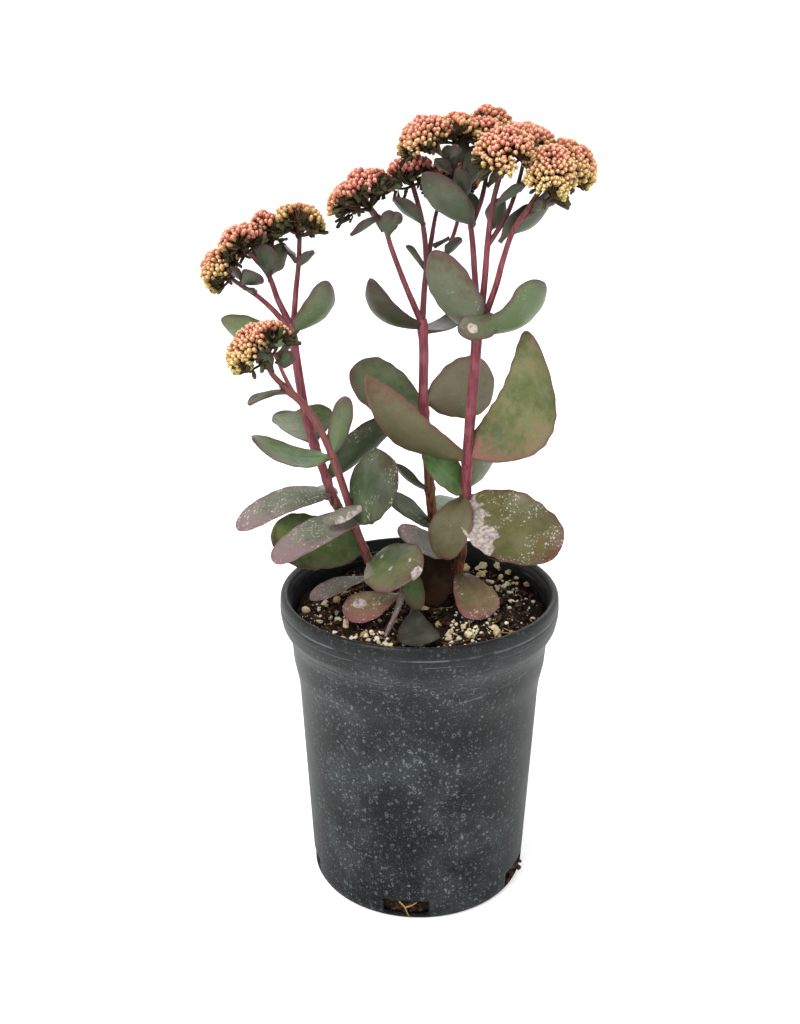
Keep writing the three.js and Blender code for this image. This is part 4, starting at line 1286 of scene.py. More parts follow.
@dataclass
class NurseryPot:
    """Thin turned wall with a rolled lip, a flared collar and five drain slots.

    Tables of the wall are radii and heights, from below upwards. A groove is a height, a depth and
    a half width.
    """

    columns: int = 240
    slot_columns: int = 16
    slots: int = 5
    slot_angle: float = -97.0
    slot_rows: tuple[float, ...] = (2.6, 5.4, 8.2, 11.1, 14.0)
    foot: tuple[Pair, ...] = (
        (0, 0), (30, 0), (60, 0), (62.6, 0), (63.8, 0.3), (64.7, 1.0), (65.2, 1.8),
    )
    outside: tuple[Pair, ...] = (
        (65.4, 2.6), (66.1, 4), (72.1, 126), (72.9, 134), (75.2, 145), (76.2, 158), (77.8, 162.8),
        (81.2, 169.5), (82.2, 175), (82.5, 178), (82.3, 183),
    )
    inside: tuple[Pair, ...] = (
        (62.7, 2.6), (64.6, 7), (70.4, 126), (71, 134), (73.6, 145), (74.6, 158), (75.9, 180),
        (77.2, 186),
    )
    floor: tuple[Pair, ...] = ((61.5, 2.25), (30, 2.2), (0, 2.2))
    grooves: tuple[Point, ...] = ((180.8, 0.35, 0.6), (177.7, 0.2, 0.5), (164.4, 0.35, 0.6))
    above_slots: float = 16.0
    collar: float = 160.0
    under_lip: float = 182.6
    coarse_rows: float = 3.0
    fine_rows: float = 0.5
    lip_centre: Pair = (79.75, 183.2)
    lip_half: Pair = (2.5, 4.8)
    lip_fullness: float = 0.8
    lip_points: int = 15

    def wall(self, table: Sequence[Pair], heights: Array) -> Array:
        """Radius at each height: the table's straight runs, averaged over two millimetres.

        Args:
            table: radii and heights.
            heights: where the radius is wanted.

        Returns:
            The radii.
        """
        radius, level = np.array(table).T
        nearby = heights[:, None] + np.linspace(-1.0, 1.0, 9)
        return np.interp(np.clip(nearby, level[0], level[-1]), level, radius).mean(1)

    def profile(self) -> tuple[Array, tuple[int, int], tuple[int, int]]:
        """The turned line from the middle of the underside, over the lip, to the floor's middle.

        The lip is half an oval: its height follows a power of the sine, below 1, which fills it
        out. The grooves are taken off the wall as bell curves.

        Returns:
            The line as radius and height, and the first and last rows of the slots' outer and
            inner openings.
        """
        slot = np.array(self.slot_rows)
        rise = np.concatenate(
            [np.arange(self.above_slots, self.collar, self.coarse_rows),
             np.arange(self.collar, self.under_lip, self.fine_rows)]
        )
        outer = np.stack([self.wall(self.outside, rise), rise], -1)
        outer[:, 0] -= sum(
            depth * np.exp(-(((rise - height) / half) ** 2)) for height, depth, half in self.grooves
        )
        turn = np.linspace(0, np.pi, self.lip_points)[1:-1]
        lip = np.stack(
            [self.lip_centre[0] + self.lip_half[0] * np.cos(turn),
             self.lip_centre[1] + self.lip_half[1] * np.sin(turn) ** self.lip_fullness], -1
        )
        fall = np.arange(184.0, self.above_slots, -self.coarse_rows)
        inner = np.stack([self.wall(self.inside, fall), fall], -1)
        opening = np.stack([self.wall(self.outside, slot), slot], -1)
        back = np.stack([self.wall(self.inside, slot[::-1]), slot[::-1]], -1)
        line = np.concatenate([self.foot, opening, outer, lip, inner, back, self.floor])
        first = len(self.foot)
        second = first + len(slot) + len(outer) + len(lip) + len(inner)
        count = len(slot) - 1
        return line, (first, first + count), (second, second + count)

    def surface(self) -> Surface:
        """The wall as a grid round the axis, with the slots' faces left out and their edges joined.

        Returns:
            The closed surface.
        """
        line, opening, back = self.profile()
        step = 2 * np.pi / self.columns
        turn = (
            math.radians(self.slot_angle) + (np.arange(self.columns) - self.slot_columns / 2) * step
        )
        rings = turned(line[1:-1], turn)
        whole = closed_tube(rings, {}, np.array([[0, 0, 0], [0, 0, line[-1, 1]]]))
        column = np.arange(len(whole.quads)) % self.columns
        row = np.arange(len(whole.quads)) // self.columns + 1
        in_slot = column % (self.columns // self.slots) < self.slot_columns
        cut = in_slot & (
            ((row >= opening[0]) & (row < opening[1])) | ((row >= back[0]) & (row < back[1]))
        )
        quads = [whole.quads[~cut]]
        for k in range(self.slots):
            start = k * (self.columns // self.slots)
            run = start + np.arange(self.slot_columns)
            for out_row, in_row, flip in (
                (opening[0], back[1], False), (opening[1], back[0], True),
            ):
                a, b = (out_row - 1) * self.columns + run, (in_row - 1) * self.columns + run
                face = np.stack([a, a + 1, b + 1, b], -1)
                quads.append(face[:, ::-1] if flip else face)
            steps = np.arange(opening[1] - opening[0])
            for edge, flip in ((start, True), (start + self.slot_columns, False)):
                a = (opening[0] - 1 + steps) * self.columns + edge
                b = (back[1] - 1 - steps) * self.columns + edge
                face = np.stack([a, a + self.columns, b - self.columns, b], -1)
                quads.append(face[:, ::-1] if flip else face)
        return Surface(whole.points, np.concatenate(quads), whole.tris)

    def build(self) -> None:
        """Makes the pot."""
        self.surface().make("nursery_pot", PotFinish().build(), SLOT_OF["pot"], ("pot",))


@dataclass
class PottingSoil:
    """Moist bark soil with grit, a body that fills the pot and loose matter over its surface.

    side is the body's wall as radii and heights. A patch of grit is a centre, a spread and a
    count. slots are the drain slots' angles, each with how far the soil has come out of it.
    """

    radius: float = 74.4
    level: float = 172.0
    slope: Pair = (0.025, 0.015)
    lump_height: float = 1.3
    crumb_height: float = 0.9
    columns: int = 200
    rings: int = 96
    side: tuple[Pair, ...] = (
        (61.6, 2.5), (63.4, 7), (63.9, 15), (69.9, 126), (70.4, 134), (73.0, 145), (74.0, 158),
    )
    fibre_count: int = 90
    fibre_reach: Pair = (66, 70)
    patches: tuple[tuple[Pair, Pair, int], ...] = (
        ((26, -33), (16, 8), 90), ((50, 34), (13, 13), 70), ((-42, -12), (15, 22), 70),
        ((-32, -42), (12, 7), 60),
    )
    pebbles: tuple[Pair, ...] = (
        (56, 9), (46.5, 1.5), (37.5, 58), (42, 60), (51, 56), (52, 43.5), (57.5, 48), (61.5, 38),
        (67, 30.5), (50.6, 30.5), (55, 32.5), (32, -26.5), (28, -37.5), (43, -25), (18, -30),
        (17, -45), (66.5, -13), (44, -33.7), (25, -25), (3, -2), (10.7, -21), (-46, 35.5),
        (-38.5, 44), (-50, 13.4), (-68, 4), (-59, -12.5), (-43, -20), (-28, -28), (-32, -31),
        (-17, -45), (-44, -33), (-57, 15), (-51, 30), (46, 36), (40, 47), (30, 60),
    )
    slots: tuple[Pair, ...] = ((-97, 0.0), (-25, 3.2), (47, 1.0), (119, 0.5), (191, 1.5))
    slot_radius: float = 63.5
    slot_crumbs: int = 26

    def height(self, x: Array, y: Array) -> Array:
        """Height of the soil: a slight slope, broad lumps and finer ones, as sine products.

        Args:
            x: places across.
            y: places from front to back.

        Returns:
            The heights.
        """
        lumps = self.lump_height * np.sin(x * 0.21 + 0.8) * np.cos(y * 0.17 - 0.4)
        crumbs = self.crumb_height * np.sin(x * 0.47 - y * 0.39)
        return self.level + self.slope[0] * x + self.slope[1] * y + (lumps + crumbs)

    def body(self) -> Surface:
        """Top as a grid of rings with crumbly relief, and the side down to the pot's floor.

        Returns:
            The closed surface, with its tone.
        """
        turn = np.linspace(0, 2 * np.pi, self.columns, endpoint=False)
        radii = np.linspace(0.6, self.radius, self.rings)[::-1]
        x, y = radii[:, None] * np.cos(turn), radii[:, None] * np.sin(turn)
        flat = np.stack([x, y, np.zeros_like(x)], -1)
        crumbs = 0.7 * Unevenness(3, 5.5)(flat) + 0.45 * Unevenness(4, 2.6)(flat)
        crumbs *= smoothstep(self.radius - radii, 0, 3)[:, None]
        top = np.stack([x, y, self.height(x, y) + crumbs], -1)
        wall = turned(np.array(self.side), turn)
        tone = np.concatenate([np.full(wall.shape[:2], 0.2), 0.25 + 0.3 * crumbs])
        return closed_tube(np.concatenate([wall, top]), {"tone": tone})

    def lump(self, detail: int) -> Surface:
        """A unit ball of triangles, even all over.

        Args:
            detail: how often its triangles are halved.

        Returns:
            The ball.
        """
        ball = bmesh.new()
        bmesh.ops.create_icosphere(ball, subdivisions=detail, radius=1)
        points = np.array([vertex.co for vertex in ball.verts])
        tris = np.array([[vertex.index for vertex in face.verts] for face in ball.faces])
        ball.free()
        return Surface(points, tris=tris)

    def strew(
        self, where: Array | int, sizes: Pair, flat: Point, detail: int, seed: int,
        lift: float = 0.25,
    ) -> Surface:
        """Lumps strewn over the soil, each turned at random and made uneven.

        Args:
            where: places as x and y, or how many to strew over the whole surface.
            sizes: smallest and largest half length.
            flat: the lump's proportions along its own axes.
            detail: fineness of a lump.
            seed: of the random draw.
            lift: share of a lump's size that it stands above the soil.

        Returns:
            The lumps, with a random tone each.
        """
        random = np.random.default_rng(seed)
        if isinstance(where, int):
            far = (self.radius - 3.5) * np.sqrt(random.uniform(0.0, 1, where))
            turn = random.uniform(0, 2 * np.pi, where)
            where = np.stack([far * np.cos(turn), far * np.sin(turn)], -1)
        count = len(where)
        size = sizes[0] + (sizes[1] - sizes[0]) * random.uniform(0, 1, count) ** 2.2
        up = np.array([0, 0, 1.0]) + random.normal(0, 0.35, (count, 3))
        turns = frames_to(up, random.uniform(*ANY_TURN, count))
        stretch = np.array(flat) * random.uniform(0.7, 1.3, (count, 3)) * size[:, None]
        turns = turns * stretch[:, None, :]
        level = self.height(where[:, 0], where[:, 1]) + lift * size
        places = np.column_stack([where, level])
        made = scatter(self.lump(detail), places, turns, {"tone": random.uniform(0, 1, count)})
        centres = np.repeat(places, len(made.points) // count, 0)
        bulge = 1 + 0.22 * Unevenness(seed, 2.4)(made.points)
        made.points = centres + (made.points - centres) * bulge[:, None]
        return made

    def fibres(self) -> Surface:
        """Thin tan fibres that lie in low arcs on the soil.

        Returns:
            The fibres, with a random tone each.
        """
        random = np.random.default_rng(20)
        count, (inner, outer) = self.fibre_count, self.fibre_reach
        far, turn = inner * np.sqrt(random.uniform(0, 1, count)), random.uniform(*ANY_TURN, count)
        way, length = random.uniform(*ANY_TURN, count), random.uniform(5, 17, count)
        start = np.stack([far * np.cos(turn), far * np.sin(turn)], -1)
        end = start + np.stack([np.cos(way), np.sin(way)], -1) * length[:, None]
        end *= np.minimum(1, outer / np.linalg.norm(end, axis=1))[:, None]
        bend = (start + end) / 2 + random.normal(0, 3, (count, 2))
        lift = random.uniform(0.4, 1.4, count)
        three = [
            np.column_stack([place, self.height(place[:, 0], place[:, 1]) + above])
            for place, above in ((start, 0.2), (bend, 1.2 + lift), (end, 0.3))
        ]
        made = stalks(*three, (0.32, 0.18), 5, 9)
        made.marks["tone"] = np.repeat(random.uniform(0, 1, count), len(made.points) // count)
        return made

    def at_slots(self) -> Surface:
        """Soil that has worked out of the drain slots.

        Returns:
            The crumbs of all slots.
        """
        parts, count = [], self.slot_crumbs
        for seed, (angle, reach) in enumerate(self.slots, 40):
            random = np.random.default_rng(seed)
            turn = math.radians(angle) + random.uniform(-0.15, 0.15, count)
            out = self.slot_radius + random.uniform(-1, 1, count)
            out = out + reach * random.uniform(0, 1, count) ** 2
            level = random.uniform(4, 12, count)
            where = np.stack([out * np.cos(turn), out * np.sin(turn), level], -1)
            size = random.uniform(0.8, 1.9, count)
            turns = frames_to(random.normal(size=(count, 3)), np.zeros(count)) * size[:, None, None]
            tones = {"tone": random.uniform(0, 0.7, count)}
            parts.append(scatter(self.lump(1), where, turns, tones))
        return Surface.joined(parts)

    def root(self) -> Surface:
        """Tan root that shows in the front slot: a curve and a spur that leaves it.

        Returns:
            The root.
        """
        paths = (
            [(-12, -64.5, 12.5), (-8.6, -66.2, 9.5), (-7.2, -67.0, 6), (-6.0, -66.4, 3.4)],
            [(-8.6, -66.2, 9.5), (-5, -66.6, 11), (-1.5, -65.6, 12.6)],
        )
        smooth = [smooth_path(path, 0.5) for path in paths]
        return Surface.joined([round_stalk(p, np.linspace(0.55, 0.3, len(p)), 8) for p in smooth])

    def grit(self) -> Surface:
        """Pale grit: coarse and fine grains all over, and the patches where it lies thickest.

        Returns:
            The grains.
        """
        random = np.random.default_rng(23)
        around = np.concatenate(
            [random.normal(centre, spread, (count, 2)) for centre, spread, count in self.patches]
        )
        around = around[np.linalg.norm(around, axis=1) < self.radius - 4]
        return Surface.joined([
            self.strew(260, (0.5, 1.6), (1, 0.85, 0.7), 2, 24, 0.5),
            self.strew(700, (0.3, 0.75), (1, 0.8, 0.6), 1, 27, 0.6),
            self.strew(around, (0.6, 1.9), (1, 0.85, 0.75), 2, 25, 0.5),
        ])

    def build(self) -> None:
        """Makes the soil and what lies on it."""
        earth = GrainFinish("potting_soil", "120c09", "35261d", 0.9, 900, 0.5)
        bark = GrainFinish("bark_chips", "1a110c", "573d2c", 0.8, 1100, 0.3)
        white = GrainFinish("white_grit", "b9a98a", "efe8d6", 0.75, 700, 0.25)
        tan = GrainFinish("tan_pebbles", "a5875c", "e6d6ab", 0.7, 500, 0.3)
        straw = GrainFinish("root_fibres", "4c3423", "b58e62", 0.8, 800, 0.1)
        root = GrainFinish("root", "8f6f45", "cdb083")
        chips = Surface.joined([
            self.strew(1100, (0.8, 3.2), (1, 0.5, 0.3), 1, 21),
            self.strew(900, (0.5, 1.3), (1, 0.8, 0.6), 1, 22),
        ])
        stones = self.strew(np.array(self.pebbles), (1.7, 3.6), (1, 0.8, 0.7), 3, 26, 0.55)
        self.body().make("potting_soil_body", earth.build(), "soil", ("potting_soil",))
        chips.make("bark_chips", bark.build(), "soil", smooth=False)
        self.grit().make("white_grit", white.build(), "soil", smooth=False)
        stones.make("tan_pebbles", tan.build(), "soil")
        self.fibres().make("soil_fibres", straw.build(), "soil")
        self.at_slots().make("soil_at_slots", bark.build(), "soil", smooth=False)
        self.root().make("root_at_slot", root.build(), "soil")


def round_stalk(
    path: Array, radius: Array, sides: int, marks: dict[str, Array] | None = None
) -> Surface:
    """Round stalk along a path, rounded off at both ends.

    Args:
        path: n x 3 points.
        radius: n radii.
        sides: points in a ring.
        marks: n values for each mark.

    Returns:
        The closed surface.
    """
    side, up = frames_along(path)
    angle = np.linspace(0, 2 * np.pi, sides, endpoint=False)
    ring = np.cos(angle)[:, None] * side[:, None] + np.sin(angle)[:, None] * up[:, None]
    rings = path[:, None] + radius[:, None, None] * ring
    ends = np.array([path[0] - (path[1] - path[0]) * 0.5, path[-1] + (path[-1] - path[-2]) * 0.5])
    shown = {k: np.repeat(v[:, None], sides, 1) for k, v in (marks or {}).items()}
    return closed_tube(rings, shown, ends)


def half_widths(leaf: Leaf, s: Array, length: float) -> Array:
    """Half width of a blade along its midrib.

    It rises by a power of a sine from the stalk's share to the widest place, and falls off as a
    power of one less a power. The neck narrows its first millimetres.

    Args:
        leaf: its shape.
        s: places along the blade, from 0 to 1.
        length: of the blade.

    Returns:
        The half widths.
    """
    swelling = np.sin(np.pi / 2 * np.minimum(s / leaf.widest, 1)) ** leaf.swell
    rising = leaf.stalk + (1 - leaf.stalk) * swelling
    beyond = np.maximum((s - leaf.widest) / (1 - leaf.widest), 0)
    falling = np.maximum(0, 1 - beyond**TIP_ROUNDNESS) ** leaf.point
    neck = leaf.neck + (1 - leaf.neck) * smoothstep(s * length, *NECK_SPAN)
    return np.maximum(
        np.where(s < leaf.widest, rising, falling) * neck * leaf.width / 2, LEAST_HALF_WIDTH
    )


def leaf_surface(foot: Array, leaf: Leaf, seed: int, rows: int = 50, around: int = 44) -> Surface:
    """Fleshy blade round a bowed midrib, as closed sections from foot to tip.

    A section's point at angle t lies cos t of the half width to the side, and the square root of
    |sin t| of the half thickness above or below. The midrib bows and sweeps as 4 s (1 - s), the cup
    grows with the square of the place across, sine waves move the margins, and a bell curve sinks
    the groove.

    Args:
        foot: where the leaf starts, inside its stem.
        leaf: its shape and colours.
        seed: of its waves.
        rows: sections.
        around: points in a section.

    Returns:
        The blade with its marks: edge, under, rib, flush and scab.
    """
    random = np.random.default_rng(seed)
    chord = np.array(leaf.tip, float) - foot
    length = float(np.linalg.norm(chord))
    along = chord / length
    face = np.array(leaf.face, float)
    up = unit(face - along * (face @ along))
    side = np.cross(up, along)
    s = (1 - (1 - np.linspace(0, 1, rows + 1)[:-1]) ** ROW_CROWDING)[:, None] * LAST_ROW
    angle = np.linspace(0, 2 * np.pi, around, endpoint=False)[None]
    v, lift = np.cos(angle), np.sin(angle)
    half = half_widths(leaf, s, length)
    phase = random.uniform(0, 2 * np.pi, 6)
    turns = 2 * np.pi * (length / random.uniform(*TOOTH_LENGTHS)) * s
    right = np.sin(turns + phase[0]) + 0.6 * np.sin(14.3 * s + phase[1])
    left = np.sin(turns + phase[2]) + 0.6 * np.sin(13.1 * s + phase[3])
    teeth = TOOTH_DEPTH * np.where(v > 0, right, left) * np.abs(v)
    reach = half * v * (1 + teeth * smoothstep(s, 0.15, 0.35))
    arch, slope = 4 * s * (1 - s), 4 * (1 - 2 * s) * leaf.bow / length
    middle = (
        foot + (along * length) * s[..., None] + up * (leaf.bow * arch)[..., None]
        + side * (leaf.sweep * arch)[..., None]
    )
    normal = unit(up - along * slope[..., None])
    belly = MARGIN_THICKNESS + RIB_THICKNESS * (1 - v**2) * (1 - THINNING * s)
    thick = 0.5 * belly * np.sign(lift) * np.abs(lift) ** 0.5 * smoothstep(-s, -1.0, -0.97)
    ripple = np.sin(9 * s + np.where(v > 0, phase[4], phase[5]))
    ripple = leaf.wave * v**2 * smoothstep(s, 0.1, 0.4) * ripple
    groove = np.exp(-((v / 0.1) ** 2)) * (1 - s)
    rise = leaf.cup * half * v**2 + ripple + thick - GROOVE_DEPTH * groove
    rings = middle + side * reach[..., None] + normal * rise[..., None]
    edge = np.minimum(half * (1 - np.abs(v)), (1 - s) * length * 0.5 + 0.1)
    flush = leaf.flush[0] * (1 - s) ** 3 + leaf.flush[1] * s**2 + leaf.flush[2] * v
    scab = np.zeros_like(edge)
    for place, beside, radius in leaf.scabs:
        apart = np.hypot((s - place) * length, (v - beside) * half)
        scab = np.maximum(scab, np.exp(-((apart / radius) ** 2) * 0.9))
    marks = {
        "edge": np.clip(edge / 8, 0, 1),
        "under": np.broadcast_to(0.5 - 0.5 * np.tanh(lift * 8), edge.shape),
        "rib": groove,
        "flush": flush + leaf.flush[3] * np.exp(-edge / 3.2),
        "scab": scab,
    }
    tip = middle[-1, 0] + along * length * (1 - LAST_ROW)
    return closed_tube(rings, marks, np.array([rings[0].mean(0), tip]))


@dataclass
class Foliage:
    """The leaves on the stems and the small ones below the flowers."""

    leaves: dict[str, Leaf]
    lobes: dict[str, tuple[Point, Leaf]]
    bracts: Sequence[tuple[str, Sequence[Bract]]]

    def bract(self, bract: Bract, seed: int) -> Surface:
        """One of the small leaves.

        Args:
            bract: its place and size.
            seed: of its waves.

        Returns:
            The leaf.
        """
        leaf = Leaf(
            "", 0, bract.tip, bract.width, Look.SHADE, bract.face, bract.bow, cup=0.25, wave=0.4,
            widest=0.5, point=0.65, flush=(0.2, 0.4, 0.2, 0.4),
        )
        return leaf_surface(np.array(bract.foot, float), leaf, seed, 30, 24)

    def build(self) -> None:
        """Makes every leaf as its own piece, and the bracts of each stem as one."""
        for seed, (name, leaf) in enumerate(self.leaves.items(), 100):
            blade = leaf_surface(STEMS[leaf.on].at(leaf.at), leaf, seed)
            if name in self.lobes:
                foot, lobe = self.lobes[name]
                fold = leaf_surface(np.array(foot, float), lobe, seed + 60)
                blade = Surface.joined([blade, fold])
            blade.make(name + "_blade", leaf.look.value.build(), SLOT_OF[name], (name,))
        rows = [(on, bract) for on, group in self.bracts for bract in group]
        for stem in ("stem_front_left", "stem_back_left", "stem_middle", "stem_right"):
            blades = [self.bract(b, seed) for seed, (on, b) in enumerate(rows, 200) if on == stem]
            Surface.joined(blades).make(stem + "_bracts", Look.SHADE.value.build(), "leaf")


@dataclass
class Stalk:
    """A stem of the plant: its main stalk and branches, thickened at the leaves' feet.

    branch_slimness is the branches' radius as a share of the tables', swellings how much the
    stalk swells at a leaf's foot, at a leaf scar and where a branch starts.
    """

    name: str
    axis: Axis
    branch_slimness: float = 0.77
    swellings: Point = (0.2, 0.05, 0.15)
    scars: Point = (196, 260, 9)
    sides: int = 20

    def run(self, branch: Branch) -> Array:
        """A branch's smooth path. One that bears flowers goes on into their underside.

        Args:
            branch: the branch.

        Returns:
            Points along it.
        """
        points = list(branch.path)
        if branch.head:
            points.append(tuple(FlowerHead(branch.head).seat))
        return smooth_path(points, 1.2)

    def radii(self, branch: Branch, path: Array, main: bool) -> Array:
        """Radius along a branch: a straight taper, with bell-shaped swellings and some unevenness.

        Args:
            branch: the branch.
            path: points along it.
            main: whether it is the stem's main stalk.

        Returns:
            The radii.
        """
        foot, scar, fork = self.swellings
        slim = self.axis.slimness if main else self.branch_slimness
        radius = slim * np.linspace(branch.start, branch.end, len(path))
        if not main:
            return radius * (1 + fork * np.exp(-np.linspace(0, 3, len(path)) ** 2))
        height = path[:, 2, None]
        feet = np.array([leaf.at for leaf in LEAVES.values() if leaf.on == self.name])
        near = np.exp(-(((height - feet) / 2.4) ** 2)).max(1)
        scars = np.exp(-(((height - np.arange(*self.scars)) / 0.8) ** 2)).max(1)
        old = smoothstep(-path[:, 2], -self.axis.woody - 15, -self.axis.woody)
        return radius * (1 + foot * near + scar * scars * old)

    def surface(self) -> Surface:
        """All the stalks of the stem, with the marks age, shade and warm.

        Returns:
            The stalks.
        """
        parts = []
        amount, low, high, forked = self.axis.painted_shade
        for k, branch in enumerate((self.axis.main, *self.axis.branches)):
            path = self.run(branch)
            height = path[:, 2]
            radius = self.radii(branch, path, k == 0)
            radius = radius * (1 + 0.025 * Unevenness(k + 7, 14)(path))
            # Painted shade: darker under the flower heads, and a little more on every branch.
            shade = amount * smoothstep(height, low, high) + forked * (k > 0)
            marks = {
                "age": smoothstep(-height, -self.axis.woody - 12, -self.axis.woody + 12),
                "shade": np.maximum(shade, branch.shade),
                "warm": np.full(len(path), self.axis.warm),
            }
            parts.append(round_stalk(path, radius, self.sides, marks))
        return Surface.joined(parts)

    def build(self) -> None:
        """Makes the stem."""
        self.surface().make(self.name + "_stalk", StemFinish().build(), "stem", (self.name,))


@dataclass
class FlowerHead:
    """A flower head: rays from the branch's end, small clusters of stalked buds, narrow bracts.

    pitch is the distance between buds, cluster the share of the disc that a cluster takes, levels
    the height of the top layer, of the sunken one and of the two hanging rims, and hidden how deeply
    each of them lies hidden, which also sets how much painted shade darkens its buds.
    """

    name: str
    seed: int = 0
    pitch: float = 2.2
    sunken_pitch: float = 1.15
    cluster: float = 78.0
    levels: tuple[float, ...] = (-2.4, -4.3, -4.5, -6.4)
    hidden: tuple[float, ...] = (0.0, 1.0, 0.0, 0.15)
    cluster_radius: float = 5.2
    cluster_rise: float = 2.2
    hub_depth: float = 7.5
    bud_radii: tuple[float, ...] = (0.6, 1.25, 1.18, 0.6)
    bud_rises: tuple[float, ...] = (0.05, 0.3, 0.62, 0.88)
    bud_height: float = 3.2
    bud_sides: int = 10
    ray_radii: Pair = (0.85, 0.6)
    pedicel_radii: Pair = (0.42, 0.52)
    bract_area: float = 14.0
    bract_size: Pair = (7.5, 2.9)

    @cached_property
    def shape(self) -> HeadShape:
        """The head's entry in the table."""
        return HEADS[self.name]

    @cached_property
    def axes(self) -> Array:
        """The head's own directions.

        Returns:
            Rows: the way across, the way back and the way out.
        """
        out = unit(np.array(self.shape.lean, float))
        side = unit(np.array([1.0, 0, 0]) - out * out[0])
        return np.stack([side, np.cross(out, side), out])

    @cached_property
    def seat(self) -> Array:
        """Where the branch ends, inside the head's underside."""
        return np.array(self.shape.centre) - 4 * self.axes[2]

    def dome(self, x: Array, y: Array, lift: Array) -> Array:
        """Points over places on the head's disc: the dome falls with the square of the radius.

        Args:
            x: places across the disc.
            y: places towards its back.
            lift: heights over the dome.

        Returns:
            The points, n x 3.
        """
        shape = self.shape
        fall = (x / shape.across) ** 2 + (y / shape.deep) ** 2
        height = shape.rise * (1 - fall) + lift
        return np.array(shape.centre) + np.stack([x, y, height], -1) @ self.axes

    def hubs(self, random: Draw) -> Array:
        """Centres of the small clusters: a sunflower spiral over the disc, slightly strayed.

        Args:
            random: the head's random draw.

        Returns:
            Places on the disc.
        """
        shape = self.shape
        count = max(5, round(shape.across * shape.deep * np.pi / self.cluster))
        k = np.arange(count) + 0.5
        far, turn = np.sqrt(k / count) * 0.9, k * GOLDEN_TURN + random.uniform(*ANY_TURN)
        place = [far * np.cos(turn) * shape.across, far * np.sin(turn) * shape.deep]
        place = np.stack(place, -1)
        return place + random.normal(0, 0.5, place.shape)

    def lattice(self, pitch: float, random: Draw) -> Array:
        """Jittered six-sided lattice over the disc, with a slightly lobed edge.

        The edge is a share of the radius: sines of three and seven lobes, less the notch.

        Args:
            pitch: distance between neighbours.
            random: the head's random draw.

        Returns:
            Places on the disc.
        """
        shape = self.shape
        reach = int(max(shape.across, shape.deep) / pitch) + 3
        i, j = np.meshgrid(np.arange(-reach, reach + 1), np.arange(-reach, reach + 1))
        place = np.stack([(i + 0.5 * (j % 2)) * pitch, j * pitch * 0.866], -1).reshape(-1, 2)
        place = place + random.normal(0, 0.1 * pitch, place.shape)
        turn = np.arctan2(place[:, 1], place[:, 0])
        fall = (place[:, 0] / shape.across) ** 2 + (place[:, 1] / shape.deep) ** 2
        edge = 0.97 + 0.1 * np.sin(3 * turn + self.seed) + 0.09 * np.sin(7 * turn + 2 * self.seed)
        way, half, depth = shape.notch
        apart = np.abs((turn - way + np.pi) % (2 * np.pi) - np.pi)
        edge = edge - depth * smoothstep(-apart, -half - 0.2, -half + 0.1)
        return place[fall < edge]

    def layers(
        self, hubs: Array, random: Draw
    ) -> tuple[Array, Array, Array, Array]:
        """Places of the buds in the top layer, in the sunken one below it, and in the hanging rim.

        A cluster's buds rise as a parabola, and some of those between clusters are left out.

        Args:
            hubs: centres of the clusters.
            random: the head's random draw.

        Returns:
            The places on the disc, their lift, which are sunken, and the number of each one's
            cluster.
        """
        shape = self.shape
        top = self.lattice(self.pitch, random)
        sunk = self.lattice(self.pitch * self.sunken_pitch, random)
        far = np.hypot(top[:, 0] / shape.across, top[:, 1] / shape.deep)
        rims = [
            top[(far > inner) & (random.uniform(0, 1, len(top)) < shape.skirt)]
            for inner in (0.74, 0.79)
        ]
        parts = (top, sunk, *rims)
        counts = [len(part) for part in parts]
        place = np.concatenate(parts)
        level, below = np.repeat(self.levels, counts), np.repeat(self.hidden, counts)
        gaps = np.linalg.norm(place[:, None] - hubs, axis=2)
        own, near, second = gaps.argmin(1), gaps.min(1), np.sort(gaps, axis=1)[:, 1]
        left_out = random.uniform(0, 1, len(place)) < 0.5
        keep = ~((second - near < 1.5) & left_out & (below < 1))
        height = random.normal(0, 0.8, len(hubs))[own]
        swell = self.cluster_rise * np.clip(1 - (near / self.cluster_radius) ** 2, -0.5, 1)
        swell = swell + height + random.normal(0, 0.2, len(place))
        return place[keep], (level + swell)[keep], below[keep], own[keep]

    def bud(self) -> Surface:
        """A closed bud, 2.5 mm wide: five lobes, a cosine on its radius, drawn to a point.

        Returns:
            The bud, with its marks rise and lobe.
        """
        t = np.array(self.bud_rises)[:, None]
        angle = np.linspace(0, 2 * np.pi, self.bud_sides, endpoint=False)[None]
        radius = np.array(self.bud_radii)[:, None] * (1 + 0.24 * np.cos(5 * angle) * t)
        rise = np.broadcast_to(t, radius.shape)
        rings = np.stack(
            [radius * np.cos(angle), radius * np.sin(angle), self.bud_height * rise], -1
        )
        lobe = np.broadcast_to(0.5 + 0.5 * np.cos(5 * angle), radius.shape)
        point = np.array([[0, 0, 0], [0, 0, self.bud_height + 0.05]])
        return closed_tube(rings, {"rise": rise, "lobe": lobe}, point)

